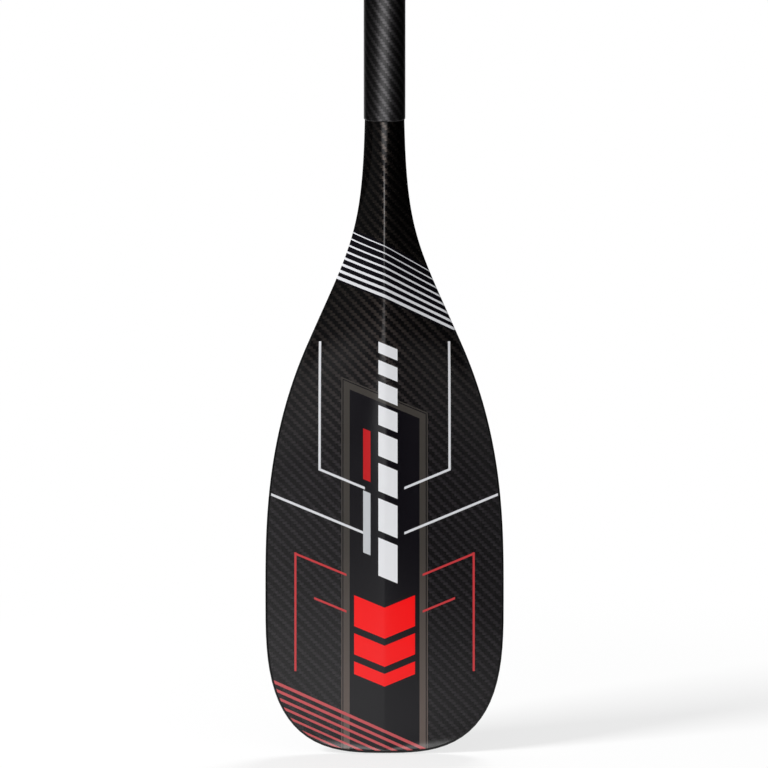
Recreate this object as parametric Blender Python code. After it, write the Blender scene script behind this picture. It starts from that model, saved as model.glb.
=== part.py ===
"""Adjustable stand-up paddleboard paddle, upright, as an assembly of its real pieces.

Metres, +Z up. The origin is on the shaft's axis at the shaft's lower end, where the blade's neck starts.
The blade leans towards -Y, and its ridged face looks that way. s runs down the blade from the origin,
u across it and v out of the ridged face.
"""

import math

import bmesh
import bpy
import numpy as np
from mathutils import Matrix, Vector
from mathutils.geometry import interpolate_bezier

GAP = 0.0003

# Blade outline
BLADE_LENGTH = 0.4501
BLADE_WIDTH = 0.1691
NECK_STEP = 0.0007
NECK_FLARE = 0.02
NECK_REACH = 0.083
SHOULDER_AT = 0.161
SHOULDER_HALF_WIDTH = 0.0552
SHOULDER_SLOPE = 0.438
SHOULDER_REACH = 0.07
WIDEST_AT = 0.3423
WIDEST_REACH = 0.047
TIP_SQUARENESS = 2.97

# Blade section
RAKE = math.radians(10.0)
BEND_LENGTH = 0.110
EDGE_THICKNESS = 0.003
EDGE_ROUNDNESS = 40
RIDGE_FADE = (0.085, 0.0135)
RIDGE_TAIL = (0.215, 0.0032)
SPINE_FADE = (0.050, 0.0135)
SPINE_TAIL = (0.120, 0.0022)
RIDGE_SHARPNESS = 1.12
RIDGE_FORMS = (-0.100, 0.160)
SPINE_FORMS = (0.0, 0.100)

# Blade layers
NECK_SKIN = 0.0012
BLADE_SKIN = 0.0008
RAIL_WIDTH = 0.0023
RAIL_START = 0.150

# Neck tenon and float plug
TENON_HEIGHT = 0.062
TENON_DEPTH = 0.060
TENON_WALL = 0.002
TENON_BORE_DEPTH = 0.009
TENON_BORE_TAPER = 0.0021
PLUG_HEIGHT = 0.025

# Lower shaft
SHAFT_DIAMETER = 0.0295
SHAFT_WALL = 0.0014
LOWER_LENGTH = 0.950
SHAFT_EDGE = 0.0008
SLIT_WIDTH = 0.002
SLIT_LENGTH = 0.040

# Upper shaft
UPPER_LENGTH = 0.737
UPPER_WALL = 0.0013
UPPER_OVERLAP = 0.443
KEYWAY_DEPTH = 0.0009
KEYWAY_FLOOR_ANGLE = math.radians(14.0)
KEYWAY_MOUTH_ANGLE = math.radians(24.0)
KEYWAY_RISE = 0.093
KEYWAY_LENGTH = 0.460
KEYWAY_RAMP = 0.010

# Upper end plug and its ring
END_FLANGE = 0.006
END_SKIRT = 0.018
END_RECESS_DEPTH = 0.012
END_RECESS_RADIUS = 0.008
RING_SECTION = 0.0008
RING_CLEARANCE = 0.0002

# Clamp
COLLAR_WALL = 0.00345
COLLAR_BELOW = 0.034
COLLAR_ABOVE = 0.012
COLLAR_LIP = 0.002
COLLAR_EDGE = 0.001
EAR_THICKNESS = 0.008
EAR_HEIGHT = 0.024
EAR_MARGIN = 0.0065
EAR_ROUNDING = 0.003
CLAMP_SLIT = 0.003
BOLT_STANDOFF = 0.006
BOLT_DROP = 0.017
BOLT_DIAMETER = 0.005
HOLE_CLEARANCE = 0.0005
KEY_WIDTH = 0.0022

# Lock screw
SCREW_DROP = 0.027
SCREW_ANGLE = math.radians(-45.0)
SCREW_DIAMETER = 0.003
SCREW_HEAD_DIAMETER = 0.0055
SCREW_HEAD = 0.0016
SCREW_SOCKET_DIAMETER = 0.002
SCREW_SOCKET_DEPTH = 0.0009

# Cam lever
SADDLE_THICKNESS = 0.0025
SADDLE_HALF_WIDTH = 0.0065
PIN_DIAMETER = 0.008
PIN_SHORT = 0.0005
CAM_WALL = 0.0032
CAM_FALL = 0.0005
CAM_BACK = math.radians(60.0)
CAM_OVERRUN = math.radians(10.0)
LEVER_SWING = math.radians(150.0)
LEVER_HEIGHT = 0.024
LEVER_THICKNESS = 0.0035
LEVER_CLEARANCE = 0.003
LEVER_HEEL_ANGLE = math.radians(155.0)
LEVER_START_ANGLE = math.radians(180.0)
LEVER_END_ANGLE = math.radians(252.0)
LEVER_FLARE_ANGLE = math.radians(12.0)
LEVER_FLARE = 0.004
SLOT_CLEARANCE = 0.0007

# Nut and washer
WASHER_THICKNESS = 0.0015
WASHER_DIAMETER = 0.012
NUT_LENGTH = 0.008
NUT_DIAMETER = 0.013
NUT_KNURL_DEPTH = 0.0004
NUT_RIDGES = 16
THREAD_PITCH = 0.0008
NUT_TURNS = 3

# Palm grip
GRIP_HEIGHT = 0.112
GRIP_WIDTH = 0.106
GRIP_DEPTH = 0.031
GRIP_STEM = 0.020
GRIP_WIDEST = 0.090
GRIP_STEM_REACH = 0.045
GRIP_SHOULDER = (0.022, 0.004)
GRIP_WAIST = (0.025, 0.001)
GRIP_BELLY = (0.035, 0.001)
GRIP_CROWN_TURN = math.radians(80.5)
GRIP_CROWN_SQUARENESS = 0.55
GRIP_TENON_BELOW = 0.050
GRIP_TENON_ABOVE = 0.035
GRIP_TENON_WALL = 0.002
SLEEVE_WALL = 0.0005
SLEEVE_BELOW = 0.020
SLEEVE_ABOVE = 0.014

# How finely the curved faces are cut
COLUMNS = 12
ROUND_STEPS = 32
SMALL_STEPS = 24
GRIP_STEPS = 28
CROWN_STEPS = 7
CAM_STEPS = 16
ARM_STEPS = 8
CURVE_STEPS = 80
PATH_STEPS = 450
SLOPE_STEP = 0.001
SHARP_ANGLE = math.radians(35.0)
NECK_SHARES = (0.05, 0.12, 0.2, 0.28, 0.37, 0.46, 0.55, 0.64, 0.73, 0.82, 0.91)
BLADE_SHARES = (0.0, 0.12, 0.26, 0.42, 0.6, 0.8, 1.0)
TIP_TURNS = [math.radians(turn) for turn in (10, 20, 30, 40, 50, 60, 70, 80, 85)]
TENON_SHARES = (0.0, 0.14, 0.28, 0.42, 0.56, 0.7, 0.85, 1.0)
GRIP_SHARES = (0.0, 0.2, 0.4, 0.55, 0.68, 0.78, 0.87, 0.94, 1.0)

# What follows from the sizes
SHAFT_RADIUS = SHAFT_DIAMETER / 2
SHAFT_BORE = SHAFT_RADIUS - SHAFT_WALL
UPPER_RADIUS = SHAFT_BORE - GAP
UPPER_BORE = UPPER_RADIUS - UPPER_WALL
UPPER_BOTTOM = LOWER_LENGTH - UPPER_OVERLAP
UPPER_TOP = UPPER_BOTTOM + UPPER_LENGTH
KEYWAY_START = UPPER_BOTTOM + KEYWAY_RISE
KEYWAY_END = KEYWAY_START + KEYWAY_LENGTH
RING_RADIUS = SHAFT_BORE - RING_CLEARANCE - RING_SECTION
COLLAR_BORE = SHAFT_RADIUS + GAP
COLLAR_RADIUS = COLLAR_BORE + COLLAR_WALL
COLLAR_BOTTOM = LOWER_LENGTH - COLLAR_BELOW
COLLAR_TOP = LOWER_LENGTH + COLLAR_ABOVE
CLAMP_Z = LOWER_LENGTH - BOLT_DROP
BOLT_RADIUS = BOLT_DIAMETER / 2
BOLT_HOLE = BOLT_RADIUS + HOLE_CLEARANCE
BOLT_OUT = COLLAR_RADIUS + BOLT_STANDOFF
EAR_END = BOLT_OUT + EAR_MARGIN
EAR_FACE = CLAMP_SLIT / 2 + EAR_THICKNESS
SADDLE_FACE = EAR_FACE + GAP + SADDLE_THICKNESS
PIN_RADIUS = PIN_DIAMETER / 2
CAM_RADIUS = PIN_RADIUS + GAP + CAM_WALL
PIN_X = -(SADDLE_FACE + GAP + CAM_RADIUS)
WASHER_FACE = EAR_FACE + GAP + WASHER_THICKNESS
NUT_FACE = WASHER_FACE + GAP + NUT_LENGTH
NUT_TRAVEL = THREAD_PITCH * NUT_TURNS
GRIP_BOTTOM = UPPER_TOP + GAP
NECK_RADIUS = SHAFT_RADIUS - NECK_STEP
RAIL_INNER = RAIL_WIDTH + GAP
TO_X_AXIS = Matrix.Rotation(math.radians(90.0), 4, "Y")
SCREW_PLACE = Matrix.Translation((0, 0, LOWER_LENGTH - SCREW_DROP)) @ Matrix.Rotation(SCREW_ANGLE, 4, "Z")
BOLT_PLACE = Matrix.Translation((0, BOLT_OUT, CLAMP_Z))
PIN_PLACE = Matrix.Translation((PIN_X, BOLT_OUT, CLAMP_Z))

for old in list(bpy.data.objects):
    bpy.data.objects.remove(old, do_unlink=True)


def finish(name, colour, roughness, metallic=0.0):
    """A plain material of one colour."""
    made = bpy.data.materials.new(name)
    made.use_nodes = True
    shader = made.node_tree.nodes["Principled BSDF"]
    shader.inputs["Base Color"].default_value = (*colour, 1.0)
    shader.inputs["Roughness"].default_value = roughness
    shader.inputs["Metallic"].default_value = metallic
    return made


CARBON = finish("carbon_twill", (0.012, 0.012, 0.013), 0.35)
FOAM = finish("white_foam", (0.75, 0.73, 0.68), 0.9)
RAIL = finish("black_abs", (0.02, 0.02, 0.02), 0.4)
NYLON = finish("black_nylon", (0.03, 0.03, 0.03), 0.5)
ACETAL = finish("grey_acetal", (0.35, 0.35, 0.36), 0.45)
ALUMINIUM = finish("black_anodised", (0.04, 0.04, 0.045), 0.35, 1.0)
STEEL = finish("stainless_steel", (0.55, 0.55, 0.56), 0.3, 1.0)
RUBBER = finish("black_rubber", (0.015, 0.015, 0.015), 0.8)


def add(name, shape, material, place=Matrix.Identity(4)):
    """Turns a bmesh into an object that stands at a place, with its faces out and its round sides smooth."""
    bmesh.ops.recalc_face_normals(shape, faces=shape.faces)
    mesh = bpy.data.meshes.new(name)
    shape.to_mesh(mesh)
    shape.free()
    mesh.shade_smooth()
    mesh.set_sharp_from_angle(angle=SHARP_ANGLE)
    mesh.materials.append(material)
    made = bpy.data.objects.new(name, mesh)
    made.matrix_world = place
    bpy.context.scene.collection.objects.link(made)
    return made


def loft(rings, closed=False, strip_ends=False):
    """A bmesh through rings of equal length. Its ends are joined to each other, filled, or closed by a strip.

    Each four-sided face is split along its shorter diagonal, so that nested layers stay the same way apart.
    """
    shape = bmesh.new()
    rows = [[shape.verts.new(point) for point in ring] for ring in rings]
    count = len(rows[0])
    pairs = list(zip(rows, rows[1:] + rows[:1] if closed else rows[1:]))
    for near, far in pairs:
        for i in range(count):
            after = (i + 1) % count
            shape.faces.new((near[i], near[after], far[after], far[i]))
    for end in () if closed else (rows[0], rows[-1]):
        if strip_ends:
            for i in range(count // 2 - 1):
                shape.faces.new((end[i], end[i + 1], end[-2 - i], end[-1 - i]))
        else:
            shape.faces.new(end)
    bmesh.ops.triangulate(shape, faces=shape.faces, quad_method="SHORT_EDGE")
    return shape


def turned(profile, ring=True, steps=ROUND_STEPS):
    """A bmesh turned about Z from (radius, height) points: a ring, or a body whose ends are on the axis."""
    shape = bmesh.new()
    corners = [shape.verts.new((radius, 0.0, height)) for radius, height in profile]
    follows = corners[1:] + corners[:1] if ring else corners[1:]
    edges = [shape.edges.new(pair) for pair in zip(corners, follows)]
    bmesh.ops.spin(
        shape, geom=corners + edges, cent=(0, 0, 0), axis=(0, 0, 1), dvec=(0, 0, 0), angle=math.tau,
        steps=steps, use_merge=True,
    )
    bmesh.ops.remove_doubles(shape, verts=shape.verts, dist=1e-6)
    return shape


def tube_profile(inner, outer, bottom, top):
    """The section of a plain ring."""
    return [(inner, bottom), (inner, top), (outer, top), (outer, bottom)]


def box(low, high):
    """A bmesh box between two corners."""
    shape = bmesh.new()
    low = Vector(low)
    high = Vector(high)
    place = Matrix.Translation((low + high) / 2) @ Matrix.Diagonal((*(high - low), 1.0))
    bmesh.ops.create_cube(shape, size=1.0, matrix=place)
    return shape


def rod(radius, start, end, direction="X", steps=SMALL_STEPS):
    """A bmesh cylinder along X or Z, centred on the other axes."""
    shape = bmesh.new()
    turn = TO_X_AXIS if direction == "X" else Matrix.Identity(4)
    middle = (start + end) / 2
    along = Vector((middle, 0, 0)) if direction == "X" else Vector((0, 0, middle))
    bmesh.ops.create_cone(
        shape, cap_ends=True, segments=steps, radius1=radius, radius2=radius, depth=end - start,
        matrix=Matrix.Translation(along) @ turn,
    )
    return shape


def extruded(outline, low, high):
    """A bmesh prism along Z from an outline of (x, y) points."""
    shape = bmesh.new()
    base = shape.faces.new([shape.verts.new((x, y, low)) for x, y in outline])
    raised = bmesh.ops.extrude_face_region(shape, geom=[base])
    moved = [part for part in raised["geom"] if isinstance(part, bmesh.types.BMVert)]
    bmesh.ops.translate(shape, verts=moved, vec=(0, 0, high - low))
    return shape


def combine(target, operation, name, shape, place=Matrix.Identity(4)):
    """Cuts a helper shape from an object, or joins it on."""
    helper = add(name, shape, target.data.materials[0], place)
    helper.hide_render = True
    helper.display_type = "WIRE"
    modifier = target.modifiers.new(name, "BOOLEAN")
    modifier.operation = operation
    modifier.object = helper


def blend(value, start, end):
    """Goes smoothly from 0 at the start to 1 at the end."""
    share = min(max((value - start) / (end - start), 0.0), 1.0)
    return share * share * (3.0 - 2.0 * share)


def drawn_curve(*segments):
    """A value that follows cubic curves, each given by its two ends and the handles between them."""
    points = [p for segment in segments for p in interpolate_bezier(*map(Vector, segment), CURVE_STEPS)]
    along = [p[0] for p in points]
    values = [p[1] for p in points]
    return lambda s: float(np.interp(s, along, values))


half_width = drawn_curve(
    (
        (0.0, NECK_RADIUS),
        (NECK_REACH, NECK_RADIUS + NECK_FLARE * NECK_REACH),
        (SHOULDER_AT - SHOULDER_REACH, SHOULDER_HALF_WIDTH - SHOULDER_SLOPE * SHOULDER_REACH),
        (SHOULDER_AT, SHOULDER_HALF_WIDTH),
    ),
    (
        (SHOULDER_AT, SHOULDER_HALF_WIDTH),
        (SHOULDER_AT + SHOULDER_REACH, SHOULDER_HALF_WIDTH + SHOULDER_SLOPE * SHOULDER_REACH),
        (WIDEST_AT - WIDEST_REACH, BLADE_WIDTH / 2),
        (WIDEST_AT, BLADE_WIDTH / 2),
    ),
)
tip_height = EDGE_THICKNESS / 2 + GAP
ridge_height = drawn_curve(((0.0, NECK_RADIUS), RIDGE_FADE, RIDGE_TAIL, (BLADE_LENGTH, tip_height)))
spine_height = drawn_curve(((0.0, NECK_RADIUS), SPINE_FADE, SPINE_TAIL, (BLADE_LENGTH, tip_height)))
FRONT_FACE = (ridge_height, RIDGE_FORMS)
BACK_FACE = (spine_height, SPINE_FORMS)


def outline(s, inset=0.0):
    """Half the blade's width at s, with the whole border moved in by an inset."""
    if s <= WIDEST_AT:
        slope = (half_width(s + SLOPE_STEP) - half_width(s - SLOPE_STEP)) / (2 * SLOPE_STEP)
        return half_width(s) - inset * math.hypot(1.0, slope)
    share = min((s - WIDEST_AT) / (BLADE_LENGTH - WIDEST_AT - inset), 1.0)
    return (BLADE_WIDTH / 2 - inset) * (1.0 - share**TIP_SQUARENESS) ** (1.0 / TIP_SQUARENESS)


def lean(s):
    """The centre line's angle from the shaft's axis."""
    return RAKE * blend(s, 0.0, BEND_LENGTH)


path_s = np.linspace(0.0, BLADE_LENGTH, PATH_STEPS + 1)
path_lean = np.array([lean(s) for s in (path_s[1:] + path_s[:-1]) / 2])
path_step = BLADE_LENGTH / PATH_STEPS
path_y = -np.concatenate(([0.0], np.cumsum(np.sin(path_lean) * path_step)))
path_z = -np.concatenate(([0.0], np.cumsum(np.cos(path_lean) * path_step)))


def blade_point(s, u, v):
    """The blade's point at these distances down, across and out of it. A negative s is up in the shaft."""
    if s < 0.0:
        return Vector((u, -v, -s))
    angle = lean(s)
    y = float(np.interp(s, path_s, path_y))
    z = float(np.interp(s, path_s, path_z))
    return Vector((u, y - v * math.cos(angle), z + v * math.sin(angle)))


def face_height(s, u, face):
    """How far an outer face of the blade lies from the middle plane: round in the neck, ridged below it."""
    edge = EDGE_THICKNESS / 2 * blend(s, 0.0, RAIL_START)
    across = min(abs(u) / outline(s), 1.0)
    rounding = math.sqrt(1.0 - across**EDGE_ROUNDNESS) if s < RAIL_START else 1.0
    crest, forms = face
    formed = blend(s, *forms)
    power = 2.0 + (RIDGE_SHARPNESS - 2.0) * formed
    lift = (1.0 - across**power) ** (0.5 + 0.5 * formed)
    return max(edge * rounding + (crest(s) - edge) * lift, GAP / 2)


def face_section(s, face):
    """One outer face at s as (u, v) points: out to the border in the neck, and to the rail further down."""
    half = outline(s) if s < RAIL_START else outline(s, RAIL_INNER)
    shares = [math.cos(math.pi * i / COLUMNS) for i in range(COLUMNS + 1)]
    return [(half * share, face_height(s, half * share, face)) for share in shares]


def sunk(section, depth, s):
    """The section moved in by a depth, square to itself. Where the rail borders it, its ends stay in line."""
    points = np.array(section)
    along = np.gradient(points, axis=0)
    outward = np.stack((along[:, 1], -along[:, 0]), axis=1)
    outward[0] = (1.0, 0.0) if s < RAIL_START else (0.0, 1.0)
    outward[-1] = (-1.0, 0.0) if s < RAIL_START else (0.0, 1.0)
    outward /= np.linalg.norm(outward, axis=1)[:, None]
    return [(u, max(v, GAP / 2)) for u, v in (points - depth * outward).tolist()]


def skin_depth(s):
    return NECK_SKIN + (BLADE_SKIN - NECK_SKIN) * blend(s, 0.0, RAIL_START)


def tip_place(turn, inset=0.0):
    """A point (s, u) of the rounded tip's border, by its turn from the widest place."""
    depth = BLADE_LENGTH - WIDEST_AT - inset
    return (
        WIDEST_AT + depth * math.sin(turn) ** (2.0 / TIP_SQUARENESS),
        (BLADE_WIDTH / 2 - inset) * max(math.cos(turn), 0.0) ** (2.0 / TIP_SQUARENESS),
    )


def stations(start):
    """Distances down the blade: through the neck, past the rail's start, and closer round the tip."""
    neck = [s for s in (RAIL_START * share for share in NECK_SHARES) if s > start + GAP]
    broad = [RAIL_START + share * (WIDEST_AT - RAIL_START) for share in BLADE_SHARES]
    tip = [tip_place(turn, RAIL_INNER)[0] for turn in TIP_TURNS]
    return [start] + neck + [RAIL_START - GAP] + broad + tip


def blade_skin(name, face, side):
    """A skin between an outer face and the same face moved in by the skin's thickness."""
    rings = []
    for s in stations(GAP):
        outer = face_section(s, face)
        inner = sunk(outer, skin_depth(s), s)
        rings.append([blade_point(s, u, side * v) for u, v in outer + inner[::-1]])
    return add(name, loft(rings, strip_ends=True), CARBON)


def blade_core():
    """The foam that fills the blade between its skins, from below the tenon to the rail."""
    rings = []
    for s in stations(TENON_DEPTH + GAP):
        depth = skin_depth(s) + GAP
        front = sunk(face_section(s, FRONT_FACE), depth, s)
        back = [(u, -v) for u, v in sunk(face_section(s, BACK_FACE), depth, s)]
        rings.append([blade_point(s, u, v) for u, v in front + back[::-1]])
    return add("blade_core", loft(rings, strip_ends=True), FOAM)


blade_skin("blade_front_skin", FRONT_FACE, 1)
blade_skin("blade_back_skin", BACK_FACE, -1)
blade_core()


def edge_rail():
    """The rail runs down one side of the blade, round the tip and up the other side, with a round nose."""
    sides = [RAIL_START + GAP + share * (WIDEST_AT - RAIL_START - GAP) for share in BLADE_SHARES]
    border = [(s, outline(s)) for s in sides]
    border += [tip_place(turn) for turn in TIP_TURNS + [math.pi / 2]]
    border += [(s, -u) for s, u in border[-2::-1]]
    border = np.array(border)
    along = np.gradient(border, axis=0)
    along /= np.linalg.norm(along, axis=1)[:, None]
    half = EDGE_THICKNESS / 2
    nose = [math.radians(90.0 - 30.0 * i) for i in range(7)]
    section = [(RAIL_WIDTH, -half), (RAIL_WIDTH, half)]
    section += [(half - half * math.cos(a), half * math.sin(a)) for a in nose]
    rings = []
    for (s, u), (forward, sideways) in zip(border, along):
        rings.append([blade_point(s + q * sideways, u - q * forward, v) for q, v in section])
    return add("blade_edge_rail", loft(rings), RAIL)


edge_rail()


def on_circle(radius, angle):
    return Vector((radius * math.cos(angle), radius * math.sin(angle)))


def circle(radius, steps=SMALL_STEPS):
    return [on_circle(radius, math.tau * i / steps) for i in range(steps)]


def neck_room(s):
    """The radius of the round hole that fits between the blade's skins at s, inside a bond line."""
    inner = [sunk(face_section(s, face), skin_depth(s) + GAP, s) for face in (FRONT_FACE, BACK_FACE)]
    return min(math.hypot(u, v) for section in inner for u, v in section) - GAP / 2


def neck_tenon():
    """A hollow spigot in the shaft that runs down into the neck, follows its bend and fills its width."""
    spigot = SHAFT_BORE - GAP
    bore = neck_room(GAP) - TENON_WALL
    levels = [(TENON_BORE_DEPTH, bore - TENON_BORE_TAPER), (GAP, bore), (-TENON_HEIGHT, bore)]
    levels += [(-TENON_HEIGHT, spigot - SHAFT_EDGE), (-TENON_HEIGHT + SHAFT_EDGE, spigot), (-GAP, spigot)]
    levels += [(s, neck_room(s)) for s in (GAP + (TENON_DEPTH - GAP) * share for share in TENON_SHARES)]
    rings = [[blade_point(s, u, v) for u, v in circle(radius)] for s, radius in levels]
    return add("neck_tenon", loft(rings), CARBON)


neck_tenon()


def lower_shaft():
    """The tube with a rounded lower edge, four slits under the clamp and a hole for the lock screw."""
    narrow = SHAFT_RADIUS - SHAFT_EDGE
    profile = [(SHAFT_BORE, 0.0), (SHAFT_BORE, LOWER_LENGTH), (narrow, LOWER_LENGTH)]
    profile += [(SHAFT_RADIUS, LOWER_LENGTH - SHAFT_EDGE), (SHAFT_RADIUS, SHAFT_EDGE), (narrow, 0.0)]
    made = add("lower_shaft", turned(profile), CARBON)
    low = LOWER_LENGTH - SLIT_LENGTH
    high = LOWER_LENGTH + SLIT_LENGTH
    half = SLIT_WIDTH / 2
    combine(made, "DIFFERENCE", "slit_x", box((-SHAFT_DIAMETER, -half, low), (SHAFT_DIAMETER, half, high)))
    combine(made, "DIFFERENCE", "slit_y", box((-half, -SHAFT_DIAMETER, low), (half, SHAFT_DIAMETER, high)))
    hole = rod(SCREW_DIAMETER / 2 + GAP, UPPER_BORE, 2 * COLLAR_RADIUS)
    combine(made, "DIFFERENCE", "shaft_screw_hole", hole, SCREW_PLACE)
    return made


lower_shaft()


def float_plug():
    """The foam stopper above the tenon, which keeps water out of the shaft."""
    radius = SHAFT_BORE - GAP
    low = TENON_HEIGHT + GAP
    high = low + PLUG_HEIGHT
    profile = [(0.0, high), (radius - SHAFT_EDGE, high), (radius, high - SHAFT_EDGE)]
    profile += [(radius, low + SHAFT_EDGE), (radius - SHAFT_EDGE, low), (0.0, low)]
    return add("shaft_float_plug", turned(profile, ring=False), FOAM)


float_plug()


def clamp_collar():
    """A split ring over the shaft's end, with a lip that keeps the bush and two ears for the draw bolt."""
    lip = UPPER_RADIUS + 2 * GAP
    shelf = COLLAR_TOP - COLLAR_LIP
    profile = [(COLLAR_BORE, COLLAR_BOTTOM), (COLLAR_BORE, shelf), (lip, shelf), (lip, COLLAR_TOP)]
    profile += [(COLLAR_RADIUS - COLLAR_EDGE, COLLAR_TOP), (COLLAR_RADIUS, COLLAR_TOP - COLLAR_EDGE)]
    profile += [(COLLAR_RADIUS, COLLAR_BOTTOM + COLLAR_EDGE), (COLLAR_RADIUS - COLLAR_EDGE, COLLAR_BOTTOM)]
    made = add("clamp_collar", turned(profile), ALUMINIUM)
    low = CLAMP_Z - EAR_HEIGHT / 2
    high = CLAMP_Z + EAR_HEIGHT / 2
    root = SHAFT_RADIUS + 2 * GAP
    block = box((-EAR_FACE, root, low), (EAR_FACE, EAR_END, high))
    corners = [e for e in block.edges if abs(e.verts[0].co.x - e.verts[1].co.x) > EAR_FACE]
    bmesh.ops.bevel(
        block, geom=corners, offset=EAR_ROUNDING, segments=3, profile=0.5, affect="EDGES", material=-1
    )
    combine(made, "UNION", "ears", block)
    past = 2 * EAR_HEIGHT
    slit = box((-CLAMP_SLIT / 2, 0.0, COLLAR_BOTTOM - past), (CLAMP_SLIT / 2, 2 * EAR_END, COLLAR_TOP + past))
    combine(made, "DIFFERENCE", "clamp_slit", slit)
    combine(made, "DIFFERENCE", "bolt_hole", rod(BOLT_HOLE, -2 * EAR_FACE, 2 * EAR_FACE), BOLT_PLACE)
    hole = rod(SCREW_DIAMETER / 2 + GAP, UPPER_BORE, 2 * COLLAR_RADIUS)
    combine(made, "DIFFERENCE", "collar_screw_hole", hole, SCREW_PLACE)
    sink = rod(SCREW_HEAD_DIAMETER / 2 + GAP, COLLAR_RADIUS - SCREW_HEAD - GAP, 2 * COLLAR_RADIUS)
    combine(made, "DIFFERENCE", "screw_head_sink", sink, SCREW_PLACE)
    return made


clamp_collar()


def collar_bush():
    """A split ring on the shaft's end that guides the upper tube and carries the key in its keyway."""
    low = LOWER_LENGTH + GAP
    high = COLLAR_TOP - COLLAR_LIP - GAP
    made = add("collar_bush", turned(tube_profile(SHAFT_BORE, SHAFT_RADIUS, low, high)), ACETAL)
    tip = UPPER_RADIUS - KEYWAY_DEPTH + GAP
    key = box((-KEY_WIDTH / 2, -SHAFT_BORE - GAP, low), (KEY_WIDTH / 2, -tip, high))
    combine(made, "UNION", "key", key)
    past = COLLAR_ABOVE
    slit = box((-CLAMP_SLIT / 2, 0.0, low - past), (CLAMP_SLIT / 2, SHAFT_DIAMETER, high + past))
    combine(made, "DIFFERENCE", "bush_slit", slit)
    return made


collar_bush()


def lock_screw():
    """A short screw from the collar into the shaft's wall, its head level with the collar's face."""
    thread = SCREW_DIAMETER / 2
    head = SCREW_HEAD_DIAMETER / 2
    socket = SCREW_SOCKET_DIAMETER / 2
    tip = SHAFT_BORE + GAP
    profile = [(0.0, COLLAR_RADIUS - SCREW_SOCKET_DEPTH), (socket, COLLAR_RADIUS - SCREW_SOCKET_DEPTH)]
    profile += [(socket, COLLAR_RADIUS), (head, COLLAR_RADIUS), (head, COLLAR_RADIUS - SCREW_HEAD)]
    profile += [(thread, COLLAR_RADIUS - SCREW_HEAD), (thread, tip), (0.0, tip)]
    shape = turned(profile, ring=False, steps=SMALL_STEPS)
    return add("collar_lock_screw", shape, STEEL, SCREW_PLACE @ TO_X_AXIS)


lock_screw()


def cam_saddle():
    """The flat seat that the cam presses on, between the cam and the nearer ear."""
    low = (-SADDLE_FACE, -SADDLE_HALF_WIDTH, -EAR_HEIGHT / 2)
    high = (-EAR_FACE - GAP, SADDLE_HALF_WIDTH, EAR_HEIGHT / 2)
    made = add("cam_saddle", box(low, high), ACETAL, BOLT_PLACE)
    combine(made, "DIFFERENCE", "saddle_hole", rod(BOLT_HOLE, -2 * SADDLE_FACE, 0.0), BOLT_PLACE)
    return made


cam_saddle()


def draw_bolt():
    """The bolt that pulls the ears together, from inside the barrel pin to past the loosened nut."""
    start = PIN_X - PIN_RADIUS + 2 * GAP
    end = NUT_FACE + NUT_TRAVEL + GAP
    chamfer = BOLT_RADIUS / 4
    profile = [(0.0, end), (BOLT_RADIUS - chamfer, end), (BOLT_RADIUS, end - chamfer)]
    profile += [(BOLT_RADIUS, start + chamfer), (BOLT_RADIUS - chamfer, start), (0.0, start)]
    return add("draw_bolt", turned(profile, ring=False, steps=SMALL_STEPS), STEEL, BOLT_PLACE @ TO_X_AXIS)


draw_bolt()


def barrel_pin():
    """The lever's pivot, a cross pin that the draw bolt screws into."""
    half = LEVER_HEIGHT / 2 - PIN_SHORT
    made = add("barrel_pin", rod(PIN_RADIUS, -half, half, "Z"), STEEL, PIN_PLACE)
    combine(made, "DIFFERENCE", "pin_hole", rod(BOLT_RADIUS + GAP, PIN_X, -PIN_X), PIN_PLACE)
    return made


barrel_pin()


def clamp_lever():
    """The cam round the pin, and an arm that wraps the collar to the front when it is closed.

    The cam's face falls evenly as the lever opens, so it keeps touching the flat saddle. The cam's angles
    are about the pin, and the arm's are about the collar.
    """
    pivot = Vector((PIN_X, BOLT_OUT))
    cam = [on_circle(CAM_RADIUS, -CAM_BACK * share) for share in (1.0, 0.75, 0.5, 0.25)]
    for i in range(CAM_STEPS + 1):
        angle = (LEVER_SWING + CAM_OVERRUN) * i / CAM_STEPS
        radius = CAM_RADIUS - CAM_FALL * angle
        cam.append(on_circle(radius, angle) + on_circle(CAM_FALL, angle - math.pi / 2))
    inner = COLLAR_RADIUS + LEVER_CLEARANCE
    outer = inner + LEVER_THICKNESS
    wrap = LEVER_END_ANGLE - LEVER_START_ANGLE
    sweep = [LEVER_START_ANGLE + wrap * i / ARM_STEPS for i in range(ARM_STEPS + 1)]
    arm = [on_circle(outer, a) - pivot for a in sweep]
    arm.append(on_circle(outer + LEVER_FLARE, LEVER_END_ANGLE + LEVER_FLARE_ANGLE) - pivot)
    arm.append(on_circle(inner + LEVER_FLARE, LEVER_END_ANGLE + LEVER_FLARE_ANGLE) - pivot)
    arm += [on_circle(inner, a) - pivot for a in reversed(sweep)]
    arm.append(on_circle(inner, LEVER_HEEL_ANGLE) - pivot)
    made = add("clamp_lever", extruded(cam + arm, -LEVER_HEIGHT / 2, LEVER_HEIGHT / 2), ALUMINIUM, PIN_PLACE)
    bore = rod(PIN_RADIUS + GAP, -LEVER_HEIGHT, LEVER_HEIGHT, "Z")
    combine(made, "DIFFERENCE", "lever_bore", bore, PIN_PLACE)
    half = BOLT_RADIUS + SLOT_CLEARANCE
    far = 2 * CAM_RADIUS
    sides = (-math.pi / 2, LEVER_SWING + math.pi / 2)
    slot = [on_circle(half, sides[0]), on_circle(half, sides[0]) + on_circle(far, 0.0)]
    slot += [on_circle(far, LEVER_SWING * i / ARM_STEPS) for i in range(1, ARM_STEPS)]
    slot += [on_circle(half, sides[1]) + on_circle(far, LEVER_SWING), on_circle(half, sides[1])]
    combine(made, "DIFFERENCE", "bolt_slot", extruded(slot, -half, half), PIN_PLACE)
    return made


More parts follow.
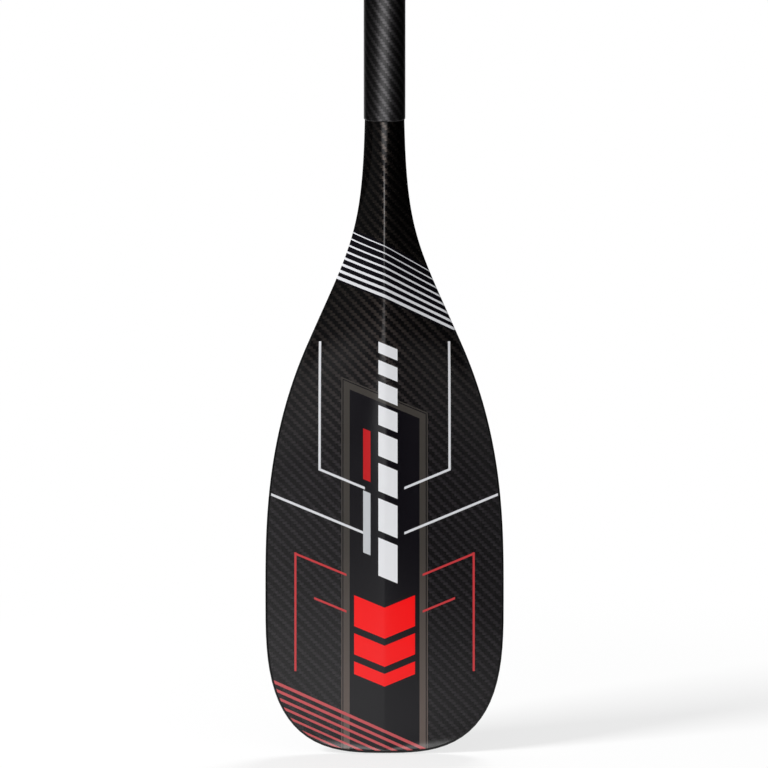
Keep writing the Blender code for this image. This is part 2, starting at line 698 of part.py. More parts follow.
clamp_lever()

washer_profile = tube_profile(BOLT_HOLE, WASHER_DIAMETER / 2, EAR_FACE + GAP, WASHER_FACE)
add("nut_washer", turned(washer_profile, steps=SMALL_STEPS), STEEL, BOLT_PLACE @ TO_X_AXIS)


def tension_nut():
    """A knurled nut that sets how hard the lever closes."""
    turns = [math.pi * i / NUT_RIDGES for i in range(2 * NUT_RIDGES)]
    knurl = [on_circle(NUT_DIAMETER / 2 - NUT_KNURL_DEPTH * (i % 2), turn) for i, turn in enumerate(turns)]
    bore = [on_circle(BOLT_RADIUS + GAP, turn) for turn in turns]
    near = WASHER_FACE + GAP
    levels = ((near, knurl), (NUT_FACE, knurl), (NUT_FACE, bore), (near, bore))
    rings = [[(x, point.x, point.y) for point in ring] for x, ring in levels]
    return add("tension_nut", loft(rings, closed=True), ALUMINIUM, BOLT_PLACE)


tension_nut()


def upper_shaft():
    """The sliding tube. A keyway is pressed into its front, and its ends stop the slide."""
    floor = KEYWAY_FLOOR_ANGLE / 2
    mouth = KEYWAY_MOUTH_ANGLE / 2
    front = -math.pi / 2
    pressed_in = [(front - floor, 1.0), (front, 1.0), (front + floor, 1.0)]
    steps = ROUND_STEPS - len(pressed_in) - 1
    plain = [front + mouth + (math.tau - 2 * mouth) * i / steps for i in range(steps + 1)]
    angles = [(a, 0.0) for a in plain] + pressed_in
    levels = [(UPPER_BOTTOM, 0.0), (KEYWAY_START - KEYWAY_RAMP, 0.0), (KEYWAY_START, KEYWAY_DEPTH)]
    levels += [(KEYWAY_END, KEYWAY_DEPTH), (KEYWAY_END + KEYWAY_RAMP, 0.0), (UPPER_TOP, 0.0)]
    rings = []
    for radius, rows in ((UPPER_RADIUS, levels), (UPPER_BORE, levels[::-1])):
        for z, depth in rows:
            ring = [on_circle(radius - depth * pressed, angle) for angle, pressed in angles]
            rings.append([(p.x, p.y, z) for p in ring])
    return add("upper_shaft", loft(rings, closed=True), CARBON)


upper_shaft()


def upper_end_plug():
    """The plug in the upper tube's lower end, with a groove for its ring."""
    skirt = UPPER_BORE - GAP
    high = UPPER_BOTTOM - GAP
    low = high - END_FLANGE
    middle = (low + high) / 2
    groove = RING_SECTION + GAP
    floor = RING_RADIUS - RING_SECTION - GAP
    top = UPPER_BOTTOM + END_SKIRT
    recess = top - END_RECESS_DEPTH
    profile = [(0.0, recess), (END_RECESS_RADIUS, recess), (END_RECESS_RADIUS, top), (skirt, top)]
    profile += [(skirt, high), (UPPER_RADIUS, high), (UPPER_RADIUS, middle + groove)]
    profile += [(floor, middle + groove), (floor, middle - groove), (UPPER_RADIUS, middle - groove)]
    profile += [(UPPER_RADIUS, low), (0.0, low)]
    add("upper_end_plug", turned(profile, ring=False), NYLON)
    section = [(RING_RADIUS + x, middle + z) for x, z in circle(RING_SECTION, 8)]
    add("plug_o_ring", turned(section), RUBBER)


upper_end_plug()

grip_span = drawn_curve(
    (
        (GRIP_STEM, UPPER_RADIUS),
        (GRIP_STEM + GRIP_STEM_REACH, UPPER_RADIUS),
        (GRIP_WIDEST - GRIP_SHOULDER[0], GRIP_WIDTH / 2 - GRIP_SHOULDER[1]),
        (GRIP_WIDEST, GRIP_WIDTH / 2),
    ),
)
grip_thickness = drawn_curve(
    (
        (GRIP_STEM, UPPER_RADIUS),
        (GRIP_STEM + GRIP_WAIST[0], UPPER_RADIUS - GRIP_WAIST[1]),
        (GRIP_WIDEST - GRIP_BELLY[0], GRIP_DEPTH / 2 - GRIP_BELLY[1]),
        (GRIP_WIDEST, GRIP_DEPTH / 2),
    ),
)


def palm_grip():
    """A T-shaped grip that swells from the round stem to a wide rounded bar, with a socket for its tenon."""
    socket = UPPER_BORE
    ceiling = GRIP_TENON_ABOVE + GAP
    levels = [(ceiling, socket, socket), (0.0, socket, socket), (0.0, UPPER_RADIUS, UPPER_RADIUS)]
    rising = [GRIP_STEM + share * (GRIP_WIDEST - GRIP_STEM) for share in GRIP_SHARES]
    levels += [(z, grip_span(z), grip_thickness(z)) for z in rising]
    crown = GRIP_HEIGHT - GRIP_WIDEST
    for i in range(1, CROWN_STEPS + 1):
        turn = GRIP_CROWN_TURN * i / CROWN_STEPS
        slim = math.cos(turn)
        across = GRIP_WIDTH / 2 * slim**GRIP_CROWN_SQUARENESS
        levels.append((GRIP_WIDEST + crown * math.sin(turn), across, GRIP_DEPTH / 2 * slim))
    unit = circle(1.0, GRIP_STEPS)
    rings = [[(x * across, y * deep, GRIP_BOTTOM + z) for x, y in unit] for z, across, deep in levels]
    return add("palm_grip", loft(rings), NYLON)


palm_grip()


def grip_tenon():
    """The spigot that joins the grip to the upper tube, hollow from below."""
    outer = UPPER_BORE - GAP
    inner = outer - GRIP_TENON_WALL
    low = UPPER_TOP - GRIP_TENON_BELOW
    high = GRIP_BOTTOM + GRIP_TENON_ABOVE
    ceiling = high - GRIP_TENON_WALL
    profile = [(0.0, high), (outer, high), (outer, low), (inner, low), (inner, ceiling), (0.0, ceiling)]
    return add("grip_tenon", turned(profile, ring=False), NYLON)


grip_tenon()


def joint_sleeve():
    """The shrunk rubber sleeve over the seam between tube and grip."""
    bore = UPPER_RADIUS + GAP
    low = UPPER_TOP - SLEEVE_BELOW
    high = GRIP_BOTTOM + SLEEVE_ABOVE
    return add("grip_joint_sleeve", turned(tube_profile(bore, bore + SLEEVE_WALL, low, high)), RUBBER)


joint_sleeve()
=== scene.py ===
"""Adjustable stand-up paddleboard paddle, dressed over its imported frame.

Metres, +Z up, in the frame's own coordinates: the origin is on the shaft's axis at the shaft's lower end, and
the blade leans from there towards -Y. On the blade, s runs down from the origin, u across and v out of its front.
"""

import math

import bmesh
import bpy
import numpy as np
from mathutils import Matrix, Vector
from mathutils.geometry import interpolate_bezier


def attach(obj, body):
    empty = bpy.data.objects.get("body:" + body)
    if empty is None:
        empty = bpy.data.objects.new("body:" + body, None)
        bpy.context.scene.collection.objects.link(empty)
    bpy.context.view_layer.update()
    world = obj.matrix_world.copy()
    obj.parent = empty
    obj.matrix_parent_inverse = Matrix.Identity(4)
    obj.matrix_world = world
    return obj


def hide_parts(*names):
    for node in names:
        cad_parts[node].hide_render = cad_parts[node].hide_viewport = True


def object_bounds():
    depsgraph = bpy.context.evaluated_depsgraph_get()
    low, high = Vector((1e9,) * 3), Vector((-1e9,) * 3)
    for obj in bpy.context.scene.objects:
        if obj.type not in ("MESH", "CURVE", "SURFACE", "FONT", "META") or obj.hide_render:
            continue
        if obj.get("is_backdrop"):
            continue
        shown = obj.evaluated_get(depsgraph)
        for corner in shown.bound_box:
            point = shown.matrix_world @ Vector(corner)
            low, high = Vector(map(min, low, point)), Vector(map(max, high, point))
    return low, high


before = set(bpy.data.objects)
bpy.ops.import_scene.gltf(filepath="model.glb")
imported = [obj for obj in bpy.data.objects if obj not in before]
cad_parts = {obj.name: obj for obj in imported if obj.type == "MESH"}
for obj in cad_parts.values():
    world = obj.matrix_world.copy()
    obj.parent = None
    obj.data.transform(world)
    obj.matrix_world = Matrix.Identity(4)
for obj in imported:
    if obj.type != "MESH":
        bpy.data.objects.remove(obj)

scene = bpy.context.scene
cad_low, cad_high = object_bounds()

# The camera is a long lens 6 m away, 10 degrees above the horizon, so that it looks square on to the blade.
# The frame is 0.544 m wide at the paddle, and the shaft runs out of its top.
CAMERA_DISTANCE = 6.0
CAMERA_ELEVATION = math.radians(10.0)
FRAME_WIDTH = 0.5441
FRAME_CENTRE = 0.1877
FRAME_ASIDE = -0.0004
SENSOR = 36.0

towards_camera = Vector((0.0, -math.cos(CAMERA_ELEVATION), math.sin(CAMERA_ELEVATION)))
down_the_frame = Vector((0.0, -math.sin(CAMERA_ELEVATION), -math.cos(CAMERA_ELEVATION)))
lens = bpy.data.cameras.new("camera")
lens.sensor_width = SENSOR
lens.lens = SENSOR * CAMERA_DISTANCE / FRAME_WIDTH
lens.clip_end = 100.0
camera = bpy.data.objects.new("camera", lens)
camera.location = down_the_frame * FRAME_CENTRE + towards_camera * CAMERA_DISTANCE + Vector((FRAME_ASIDE, 0, 0))
camera.rotation_euler = (-towards_camera).to_track_quat("-Z", "Y").to_euler()
scene.collection.objects.link(camera)
scene.camera = camera
scene.view_settings.view_transform = "Standard"

# The studio: a round white floor board under the blade's tip, in a white room that is flagged dark to the sides and
# behind, as a black glossy thing is photographed. What mirrors the room sees a card round and above the camera,
# brightest in its middle, a wide soft card low down, and between them a bright upright strip, a little to the left.
# A card has its level in whites, and its edges: an axis of the mirrored direction, where it begins and is full. The
# first card's sides are shares of its level at places along X.
FLOOR_RADIUS = 0.6
FLOOR_FADE = 0.30
FLOOR_DROP = 0.0004
FLOOR_GLOW = 0.6
FLOOR_MIRRORED = 0.3
AMBIENT = 0.32
CARD_LEVEL = 2.2
CARD_EDGES = (("Z", 0.06, 0.20), ("Z", 0.60, 0.35))
CARD_SIDES = (
    (-0.98, 0.02), (-0.75, 0.06), (-0.50, 0.05), (-0.31, 0.05), (-0.25, 0.18), (-0.20, 0.17), (-0.15, 0.20),
    (-0.128, 0.17), (-0.10, 0.235), (-0.083, 0.26), (-0.056, 0.36), (-0.031, 0.68), (-0.017, 1.0), (0.017, 0.66),
    (0.03, 0.34), (0.05, 0.09), (0.11, 0.08), (0.17, 0.10), (0.25, 0.075), (0.30, 0.01), (0.50, 0.01), (0.98, 0.006),
)
CEILING_LEVEL = 0.25
CEILING_EDGES = (("Z", 0.35, 0.80),)
STRIP_LEVEL = 3.5
STRIP_EDGES = (("X", -0.20, -0.11), ("X", 0.08, 0.0), ("Z", -0.19, -0.05), ("Z", 0.112, 0.08))
SOFT_LEVEL = 3.0
SOFT_EDGES = (("X", -0.70, -0.17), ("X", 0.58, 0.0), ("Z", -0.85, -0.65), ("Z", -0.13, -0.20))
LOW_CARDS_BEHIND = 0.4
FLAG_LEFT = 0.09
FLAG_RIGHT = 0.01
FLAGS_BEHIND = 0.3


def linear(code):
    """An sRGB hex colour as linear RGBA."""
    parts = [int(code[i : i + 2], 16) / 255 for i in (0, 2, 4)]
    return (*[p / 12.92 if p <= 0.04045 else ((p + 0.055) / 1.055) ** 2.4 for p in parts], 1.0)


def feed(node, inputs):
    """Fills inputs of a node: a socket or another node's first output is linked, and else the value is set."""
    for name, value in inputs.items():
        if isinstance(value, bpy.types.Node):
            value = value.outputs[0]
        if isinstance(value, bpy.types.NodeSocket):
            node.id_data.links.new(value, node.inputs[name])
        else:
            node.inputs[name].default_value = value


def add_node(tree, kind, inputs=None, **settings):
    """Adds a node with its settings and its inputs."""
    made = tree.nodes.new("ShaderNode" + kind)
    for name, value in settings.items():
        setattr(made, name, value)
    feed(made, inputs or {})
    return made


world = bpy.data.worlds.new("studio")
scene.world = world
world.use_nodes = True
room = world.node_tree
room.nodes.clear()
direction = add_node(room, "SeparateXYZ", {0: add_node(room, "TexCoord").outputs["Generated"]})


def looked_at(tree):
    """The kinds of ray that meet a surface, and 1 where the eye, a mirror or glass looks at it and 0 elsewhere."""
    ray = add_node(tree, "LightPath")
    looked = ray.outputs["Is Camera Ray"]
    for other in ("Is Glossy Ray", "Is Transmission Ray"):
        looked = add_node(tree, "Math", {0: looked, 1: ray.outputs[other]}, operation="MAXIMUM")
    return ray, looked


def soft_card(level, edges):
    """A card's level in each direction, which rises softly from 0 across each of its edges."""
    for axis, start, end in edges:
        edge = add_node(
            room, "MapRange", {0: direction.outputs[axis], 1: start, 2: end}, interpolation_type="SMOOTHSTEP"
        )
        level = add_node(room, "Math", {0: edge, 1: level}, operation="MULTIPLY")
    return level


sides = add_node(room, "ValToRGB", {0: add_node(room, "MapRange", {0: direction.outputs["X"], 1: -1.0, 2: 1.0})})
for i, (x, level) in enumerate(CARD_SIDES):
    stop = sides.color_ramp.elements[i] if i < 2 else sides.color_ramp.elements.new((x + 1.0) / 2.0)
    stop.position = (x + 1.0) / 2.0
    stop.color = (level, level, level, 1.0)
card = soft_card(add_node(room, "Math", {0: sides, 1: CARD_LEVEL}, operation="MULTIPLY"), CARD_EDGES)
strip = soft_card(STRIP_LEVEL, STRIP_EDGES)
soft = soft_card(SOFT_LEVEL, SOFT_EDGES)
low_cards = add_node(room, "Math", {0: strip, 1: soft}, operation="MAXIMUM")
flags = add_node(room, "MapRange", {0: direction.outputs["X"], 1: -1.0, 2: 1.0, 3: FLAG_LEFT, 4: FLAG_RIGHT})
behind = add_node(room, "Math", {0: direction.outputs["Y"], 1: 0.0}, operation="GREATER_THAN")
mirrored = add_node(room, "Math", {0: card, 1: soft_card(CEILING_LEVEL, CEILING_EDGES)}, operation="MAXIMUM")
for part, share_behind in ((flags, FLAGS_BEHIND), (low_cards, LOW_CARDS_BEHIND)):
    dimmed = add_node(room, "MapRange", {0: behind, 3: 1.0, 4: share_behind})
    part = add_node(room, "Math", {0: part, 1: dimmed}, operation="MULTIPLY")
    mirrored = add_node(room, "Math", {0: mirrored, 1: part}, operation="MAXIMUM")
ray, looked = looked_at(room)
seen = add_node(room, "Mix", {0: ray.outputs["Is Camera Ray"], 2: mirrored, 3: 1.0}, data_type="FLOAT")
light = add_node(room, "Background", {"Color": linear("ffffff"), "Strength": AMBIENT})
backdrop = add_node(room, "Background", {"Color": linear("ffffff"), "Strength": seen})
mixed = add_node(room, "MixShader", {0: looked, 1: light, 2: backdrop})
add_node(room, "OutputWorld", {"Surface": mixed})
world.cycles.sampling_method = "NONE"

floor_centre = (0.0, cad_low.y / 2, cad_low.z - FLOOR_DROP)
shape = bmesh.new()
bmesh.ops.create_circle(
    shape, cap_ends=True, segments=128, radius=FLOOR_RADIUS, matrix=Matrix.Translation(floor_centre)
)
board = bpy.data.meshes.new("floor")
shape.to_mesh(board)
shape.free()
floor = bpy.data.objects.new("floor", board)
scene.collection.objects.link(floor)

# Matt white paint: it takes the paddle's shadow, and glows into the room's clean white towards its border.
painted = bpy.data.materials.new("white_painted_board")
painted.use_nodes = True
tree = painted.node_tree
tree.nodes.clear()
ray, looked = looked_at(tree)
place = add_node(tree, "TexCoord").outputs["Object"]
off = add_node(tree, "VectorMath", {0: place, 1: floor_centre}, operation="DISTANCE").outputs["Value"]
white = add_node(
    tree, "MapRange", {0: off, 1: FLOOR_FADE, 2: FLOOR_RADIUS, 3: FLOOR_GLOW, 4: 1.0}, interpolation_type="SMOOTHSTEP"
)
glowing = add_node(tree, "Math", {0: looked, 1: white}, operation="MULTIPLY")
paint = add_node(tree, "BsdfDiffuse", {"Color": linear("f2f2f2")})
level = add_node(tree, "MapRange", {0: ray.outputs["Is Glossy Ray"], 3: 1.0, 4: FLOOR_MIRRORED})
glow = add_node(tree, "Emission", {"Color": linear("ffffff"), "Strength": level})
mixed = add_node(tree, "MixShader", {0: glowing, 1: paint, 2: glow})
add_node(tree, "OutputMaterial", {"Surface": mixed})
board.materials.append(painted)
floor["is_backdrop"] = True


def lamp(name, place, target, size, power, mirrored):
    """A soft square lamp that faces a point, and may be kept out of reflections, as a polariser does."""
    made = bpy.data.lights.new(name, "AREA")
    made.shape = "SQUARE"
    made.size = size
    made.energy = power
    stand = bpy.data.objects.new(name, made)
    stand.location = place
    stand.rotation_euler = (Vector(place) - Vector(target)).to_track_quat("Z", "Y").to_euler()
    stand.visible_camera = False
    stand.visible_glossy = mirrored
    scene.collection.objects.link(stand)


lamp("key", place=(-3.74, -1.99, 2.80), target=(0.0, 0.0, 0.15), size=1.6, power=240.0, mirrored=False)
lamp("back", place=(1.2, 3.2, 4.2), target=(0.0, 0.0, 0.5), size=1.8, power=130.0, mirrored=True)

# The blade's front skin: one layer of 3K twill carbon under gloss clear coat, moulded against a polished tool.
# Its low ridge runs down from the neck and gets flatter towards the tip. The livery is printed under the clear coat.
GAP = 0.0003
SHAFT_RADIUS = 0.01475
NECK_RADIUS = 0.01405
BLADE_LENGTH = 0.4501
BLADE_WIDTH = 0.1691
NECK_REACH = 0.083
NECK_FLARE = 0.02
SHOULDER_AT = 0.161
SHOULDER_HALF_WIDTH = 0.0552
SHOULDER_SLOPE = 0.438
SHOULDER_REACH = 0.07
WIDEST_AT = 0.3423
WIDEST_REACH = 0.047
TIP_SQUARENESS = 2.97
RAKE = math.radians(10.0)
BEND_LENGTH = 0.110
EDGE_THICKNESS = 0.003
EDGE_ROUNDNESS = 40
RIDGE_SHARPNESS = 1.12
RIDGE_ROUNDING = 0.0012
RIDGE_CRISPING = 0.95
RIDGE_CRISP_RANGE = (0.180, 0.260)
RIDGE_HANDLES = ((0.085, 0.0135), (0.215, 0.0032))
RIDGE_FORMS = (-0.100, 0.130)
RAIL_START = 0.150
RAIL_WIDTH = 0.0016
RAIL_SEAM = 0.00005
RAIL_EASE = 0.75
SKIN = 0.0008
SKIN_COLUMNS = 96
NECK_ROWS = 75
BORDER_ROWS = 60
TIP_TURNS = (3, 6, 10, 14, 18, 23, 28, 33, 38, 43, 48, 53, 58, 63, 68, 73, 77, 81, 84, 86.5, 88.5)
CURVE_STEPS = 80
PATH_STEPS = 900
SMOOTH_UP_TO = math.radians(35.0)


def blend(value, start, end):
    """Goes smoothly from 0 at the start to 1 at the end."""
    share = min(max((value - start) / (end - start), 0.0), 1.0)
    return share * share * (3.0 - 2.0 * share)


def drawn_curve(*segments):
    """A value that follows cubic curves, each given by its two ends and the handles between them."""
    points = [p for segment in segments for p in interpolate_bezier(*map(Vector, segment), CURVE_STEPS)]
    along = [p[0] for p in points]
    values = [p[1] for p in points]
    return lambda s: float(np.interp(s, along, values))


half_width = drawn_curve(
    (
        (0.0, NECK_RADIUS),
        (NECK_REACH, NECK_RADIUS + NECK_FLARE * NECK_REACH),
        (SHOULDER_AT - SHOULDER_REACH, SHOULDER_HALF_WIDTH - SHOULDER_SLOPE * SHOULDER_REACH),
        (SHOULDER_AT, SHOULDER_HALF_WIDTH),
    ),
    (
        (SHOULDER_AT, SHOULDER_HALF_WIDTH),
        (SHOULDER_AT + SHOULDER_REACH, SHOULDER_HALF_WIDTH + SHOULDER_SLOPE * SHOULDER_REACH),
        (WIDEST_AT - WIDEST_REACH, BLADE_WIDTH / 2),
        (WIDEST_AT, BLADE_WIDTH / 2),
    ),
)
tip_height = EDGE_THICKNESS / 2 + GAP
ridge_height = drawn_curve(((0.0, NECK_RADIUS), *RIDGE_HANDLES, (BLADE_LENGTH, tip_height)))


def outline(s):
    """Half the blade's width at s."""
    if s <= WIDEST_AT:
        return half_width(s)
    share = min((s - WIDEST_AT) / (BLADE_LENGTH - WIDEST_AT), 1.0)
    return BLADE_WIDTH / 2 * (1.0 - share**TIP_SQUARENESS) ** (1.0 / TIP_SQUARENESS)


def lean(s):
    """The centre line's angle from the shaft's axis."""
    return RAKE * blend(s, 0.0, BEND_LENGTH)


path_s = np.linspace(0.0, BLADE_LENGTH, PATH_STEPS + 1)
path_lean = np.array([lean(s) for s in (path_s[1:] + path_s[:-1]) / 2])
path_y = -np.concatenate(([0.0], np.cumsum(np.sin(path_lean) * path_s[1])))
path_z = -np.concatenate(([0.0], np.cumsum(np.cos(path_lean) * path_s[1])))


def blade_point(s, u, v):
    """The blade's point at these distances down, across and out of it."""
    angle = lean(s)
    y = float(np.interp(s, path_s, path_y))
    z = float(np.interp(s, path_s, path_z))
    return Vector((u, y - v * math.cos(angle), z + v * math.sin(angle)))


def face_height(s, u, crest, forms):
    """How far a face of the blade lies from its middle plane: round in the neck, ridged below it."""
    edge = EDGE_THICKNESS / 2 * blend(s, 0.0, RAIL_START)
    across = min(abs(u) / outline(s), 1.0)
    crown = RIDGE_ROUNDING * (1.0 - RIDGE_CRISPING * blend(s, *RIDGE_CRISP_RANGE)) / outline(s)
    rounding = math.sqrt(1.0 - across**EDGE_ROUNDNESS) if s < RAIL_START else 1.0
    formed = blend(s, *forms)
    power = 2.0 + (RIDGE_SHARPNESS - 2.0) * formed
    rounded = (math.hypot(across, crown) - crown) / (math.hypot(1.0, crown) - crown)
    lift = (1.0 - rounded**power) ** (0.5 + 0.5 * formed)
    return max(edge * rounding + (crest(s) - edge) * lift, GAP / 2)


def tip_place(turn):
    """A point (s, u) of the rounded tip's border, by its turn from the widest place."""
    return (
        WIDEST_AT + (BLADE_LENGTH - WIDEST_AT) * math.sin(turn) ** (2.0 / TIP_SQUARENESS),
        BLADE_WIDTH / 2 * max(math.cos(turn), 0.0) ** (2.0 / TIP_SQUARENESS),
    )


border = [(s, outline(s)) for s in np.linspace(RAIL_START, WIDEST_AT, BORDER_ROWS).tolist()]
border += [tip_place(math.radians(turn)) for turn in (*TIP_TURNS, 90)]
border += [(s, -u) for s, u in border[-2::-1]]
heading = np.gradient(np.array(border), axis=0)
heading /= np.linalg.norm(heading, axis=1)[:, None]


def border_place(step, inwards):
    """A point (s, u) this far inside the border, which stays on one line across the blade at the rail's two ends."""
    (s, u), (forward, sideways) = border[step], heading[step]
    if step in (0, len(border) - 1):
        return s, u - inwards / forward
    return s + inwards * sideways, u - inwards * forward


def new_piece(name, shape, material, body, slot, *nodes):
    """Makes a bmesh a smooth-shaded piece that rides on a body and stands for these CAD nodes."""
    mesh = bpy.data.meshes.new(name)
    for edge in shape.edges:
        if not edge.is_manifold or edge.calc_face_angle() > SMOOTH_UP_TO:
            edge.smooth = False
    shape.to_mesh(mesh)
    shape.free()
    mesh.shade_smooth()
    mesh.materials.append(material)
    made = bpy.data.objects.new(name, mesh)
    scene.collection.objects.link(made)
    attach(made, body)
    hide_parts(*nodes)
    return made


def thicken(piece, thickness):
    """Gives a single face its wall, inwards."""
    wall = piece.modifiers.new("wall", "SOLIDIFY")
    wall.thickness = thickness
    wall.offset = -1.0


def grid_place(vert, columns, rows):
    """The column and row of a vertex of a fresh grid, which reaches from -1 to 1."""
    return round((vert.co.x + 1.0) / 2.0 * columns), round((vert.co.y + 1.0) / 2.0 * rows)


def blade_skin(crest, forms, side):
    """A grid laid over one face of the blade, with a UV map in metres: across the cloth, and down the blade."""
    rows = [GAP + i * (RAIL_START - GAP - RAIL_SEAM) / NECK_ROWS for i in range(NECK_ROWS + 1)]
    rows = [(s, outline(s)) for s in rows] + [border_place(i, RAIL_WIDTH) for i in range(len(border) // 2)]
    shape = bmesh.new()
    bmesh.ops.create_grid(shape, x_segments=SKIN_COLUMNS, y_segments=len(rows) - 1, size=1.0)
    cloth = shape.loops.layers.uv.new("cloth")
    places = {}
    for v, (s, half) in enumerate(rows):
        full = outline(s)
        section = []
        for i in range(SKIN_COLUMNS + 1):
            share = -math.cos(math.pi * i / SKIN_COLUMNS)
            drawn_in = max(blend(abs(share), RAIL_EASE, 1.0), blend(s, RAIL_START, WIDEST_AT))
            section.append((share * (full + (half - full) * drawn_in), face_height(s, share * full, crest, forms)))
        steps = [math.dist(a, b) for a, b in zip(section, section[1:])]
        run = np.concatenate(([0.0], np.cumsum(steps)))
        for i, (u, out) in enumerate(section):
            places[i, v] = (blade_point(s, u, side * out), (run[i] - run[SKIN_COLUMNS // 2], s))
    for edge in shape.edges:
        columns, ends = map(set, zip(*[grid_place(vert, SKIN_COLUMNS, len(rows) - 1) for vert in edge.verts]))
        crisp = side > 0 and columns == {SKIN_COLUMNS // 2} and rows[min(ends)][0] > RIDGE_CRISP_RANGE[1]
        edge.smooth = not crisp and ends not in ({NECK_ROWS}, {NECK_ROWS + 1})
    for vert in shape.verts:
        vert.co, flat = places[grid_place(vert, SKIN_COLUMNS, len(rows) - 1)]
        for loop in vert.link_loops:
            loop[cloth].uv = flat
    if side > 0:
        bmesh.ops.reverse_faces(shape, faces=shape.faces)
    return shape


# Twill cloth: 3K tows of 2 mm, each over two and under two. Heights are shares of the weave's relief. Fibres are
# noise that is fine across the tow and long down it, seven to a tow where a real one has 3000, which wouldn't show.
TOW = 0.00197
FLOAT_HEIGHT = 0.8
TOW_CROWN = 0.6
TOW_ROUNDNESS = 0.5
FIBRES_ACROSS = 7.0
FIBRES_DOWN = 0.35
FIBRE_SHADES = (0.7, 1.3)
# The weave's colour is scaled by how high it stands: painted shade in its low places, a painted highlight on its
# crowns.
PAINTED_DIP_SHADES = (0.4, 1.15)
WEAVE_RELIEF = 0.00005


def twill(tree, across, along, tow):
    """2x2 twill: which tow is on top (1 where it runs along), how high it stands, and streaks along its fibres."""
    a = add_node(tree, "Math", {0: across, 1: tow}, operation="DIVIDE")
    b = add_node(tree, "Math", {0: along, 1: tow}, operation="DIVIDE")
    cell_a = add_node(tree, "Math", {0: a}, operation="FLOOR")
    cell_b = add_node(tree, "Math", {0: b}, operation="FLOOR")
    step = add_node(tree, "Math", {0: cell_a, 1: cell_b}, operation="SUBTRACT")
    place = add_node(tree, "Math", {0: step, 1: 4.0}, operation="FLOORED_MODULO")
    warp = add_node(tree, "Math", {0: place, 1: 1.5}, operation="LESS_THAN")
    heights = []
    streaks = []
    for cell, run, other, shift in ((cell_b, a, b, 3.0), (cell_a, b, a, 0.0)):
        phase = add_node(tree, "Math", {0: run, 1: cell}, operation="SUBTRACT")
        phase = add_node(tree, "Math", {0: phase, 1: shift}, operation="SUBTRACT")
        turn = add_node(tree, "Math", {0: phase, 1: math.pi / 2}, operation="MULTIPLY")
        float_over = add_node(tree, "Math", {0: turn}, operation="COSINE")
        part = add_node(tree, "Math", {0: other}, operation="FRACT")
        half_turn = add_node(tree, "Math", {0: part, 1: math.pi}, operation="MULTIPLY")
        crown = add_node(tree, "Math", {0: half_turn}, operation="SINE")
        crown = add_node(tree, "Math", {0: crown, 1: TOW_ROUNDNESS}, operation="POWER")
        crown = add_node(tree, "Math", {0: crown, 1: TOW_CROWN}, operation="MULTIPLY")
        heights.append(add_node(tree, "Math", {0: float_over, 1: FLOAT_HEIGHT, 2: crown}, operation="MULTIPLY_ADD"))
        fine = add_node(tree, "Math", {0: other, 1: FIBRES_ACROSS}, operation="MULTIPLY")
        long = add_node(tree, "Math", {0: run, 1: FIBRES_DOWN}, operation="MULTIPLY")
        fibre = add_node(tree, "CombineXYZ", {0: fine, 1: long})
        streaks.append(add_node(tree, "TexNoise", {"Vector": fibre, "Scale": 1.0, "Detail": 2.0}))
    raised = add_node(tree, "Mix", {0: warp, 2: heights[0], 3: heights[1]}, data_type="FLOAT")
    fibres = add_node(tree, "Mix", {0: warp, 2: streaks[0], 3: streaks[1]}, data_type="FLOAT")
    return warp, raised, fibres


def new_material(name, **inputs):
    """A material with one principled shader, and its node tree and shader."""
    made = bpy.data.materials.new(name)
    made.use_nodes = True
    shader = made.node_tree.nodes["Principled BSDF"]
    feed(shader, {socket.replace("_", " "): value for socket, value in inputs.items()})
    return made, made.node_tree, shader


def carbon_look(tree, across, along, tow, dark, pale):
    """The colour and height of woven carbon: a tow mirrors little where it runs along, and more across.
    Its colour is darkened where the weave sinks and lifted on the floats' crowns: painted shade and highlight.
    """
    warp, raised, fibres = twill(tree, across, along, tow)
    shade = add_node(tree, "Mix", {0: warp, 6: pale, 7: linear(dark)}, data_type="RGBA").outputs[2]
    streak_and_dip_shade = add_node(tree, "MapRange", {0: fibres, 1: 0.3, 2: 0.7, 3: FIBRE_SHADES[0], 4: FIBRE_SHADES[1]})
    painted_dip_shade = add_node(tree, "MapRange", {0: raised, 1: 0.2, 2: 1.2, 3: PAINTED_DIP_SHADES[0], 4: PAINTED_DIP_SHADES[1]})
    streak_and_dip_shade = add_node(tree, "Math", {0: streak_and_dip_shade, 1: painted_dip_shade}, operation="MULTIPLY")
    return add_node(tree, "VectorMath", {0: shade, "Scale": streak_and_dip_shade}, operation="SCALE"), raised


# The print, in millimetres on the blade's UV map: eight white stripes that spread down the neck on a black band, a
# black panel with a grey border that gets paler towards the tip, a ladder of white bars with two tags beside it,
# three red chevrons, thin white and red lines, and six red stripes that thin out towards the tip. Stripes have the
# first one's centre, their pitch and number, the first one's width and what each next one adds. Bars, tags and
# chevrons have their start and height, and lines their two edges and their inner and outer end.
SLANT_ANGLE = math.radians(22.5)
TOP_BAND = (88.0, 128.5)
TOP_SLANTS = (0.384, 0.7095)
TOP_FAN = 0.00195
TOP_STRIPES = (90.4, 5.08, 8, 0.78, 0.215)
TIP_SLANT = 0.447
TIP_STRIPES = (434.7, 5.25, 6, 2.3, -0.16)
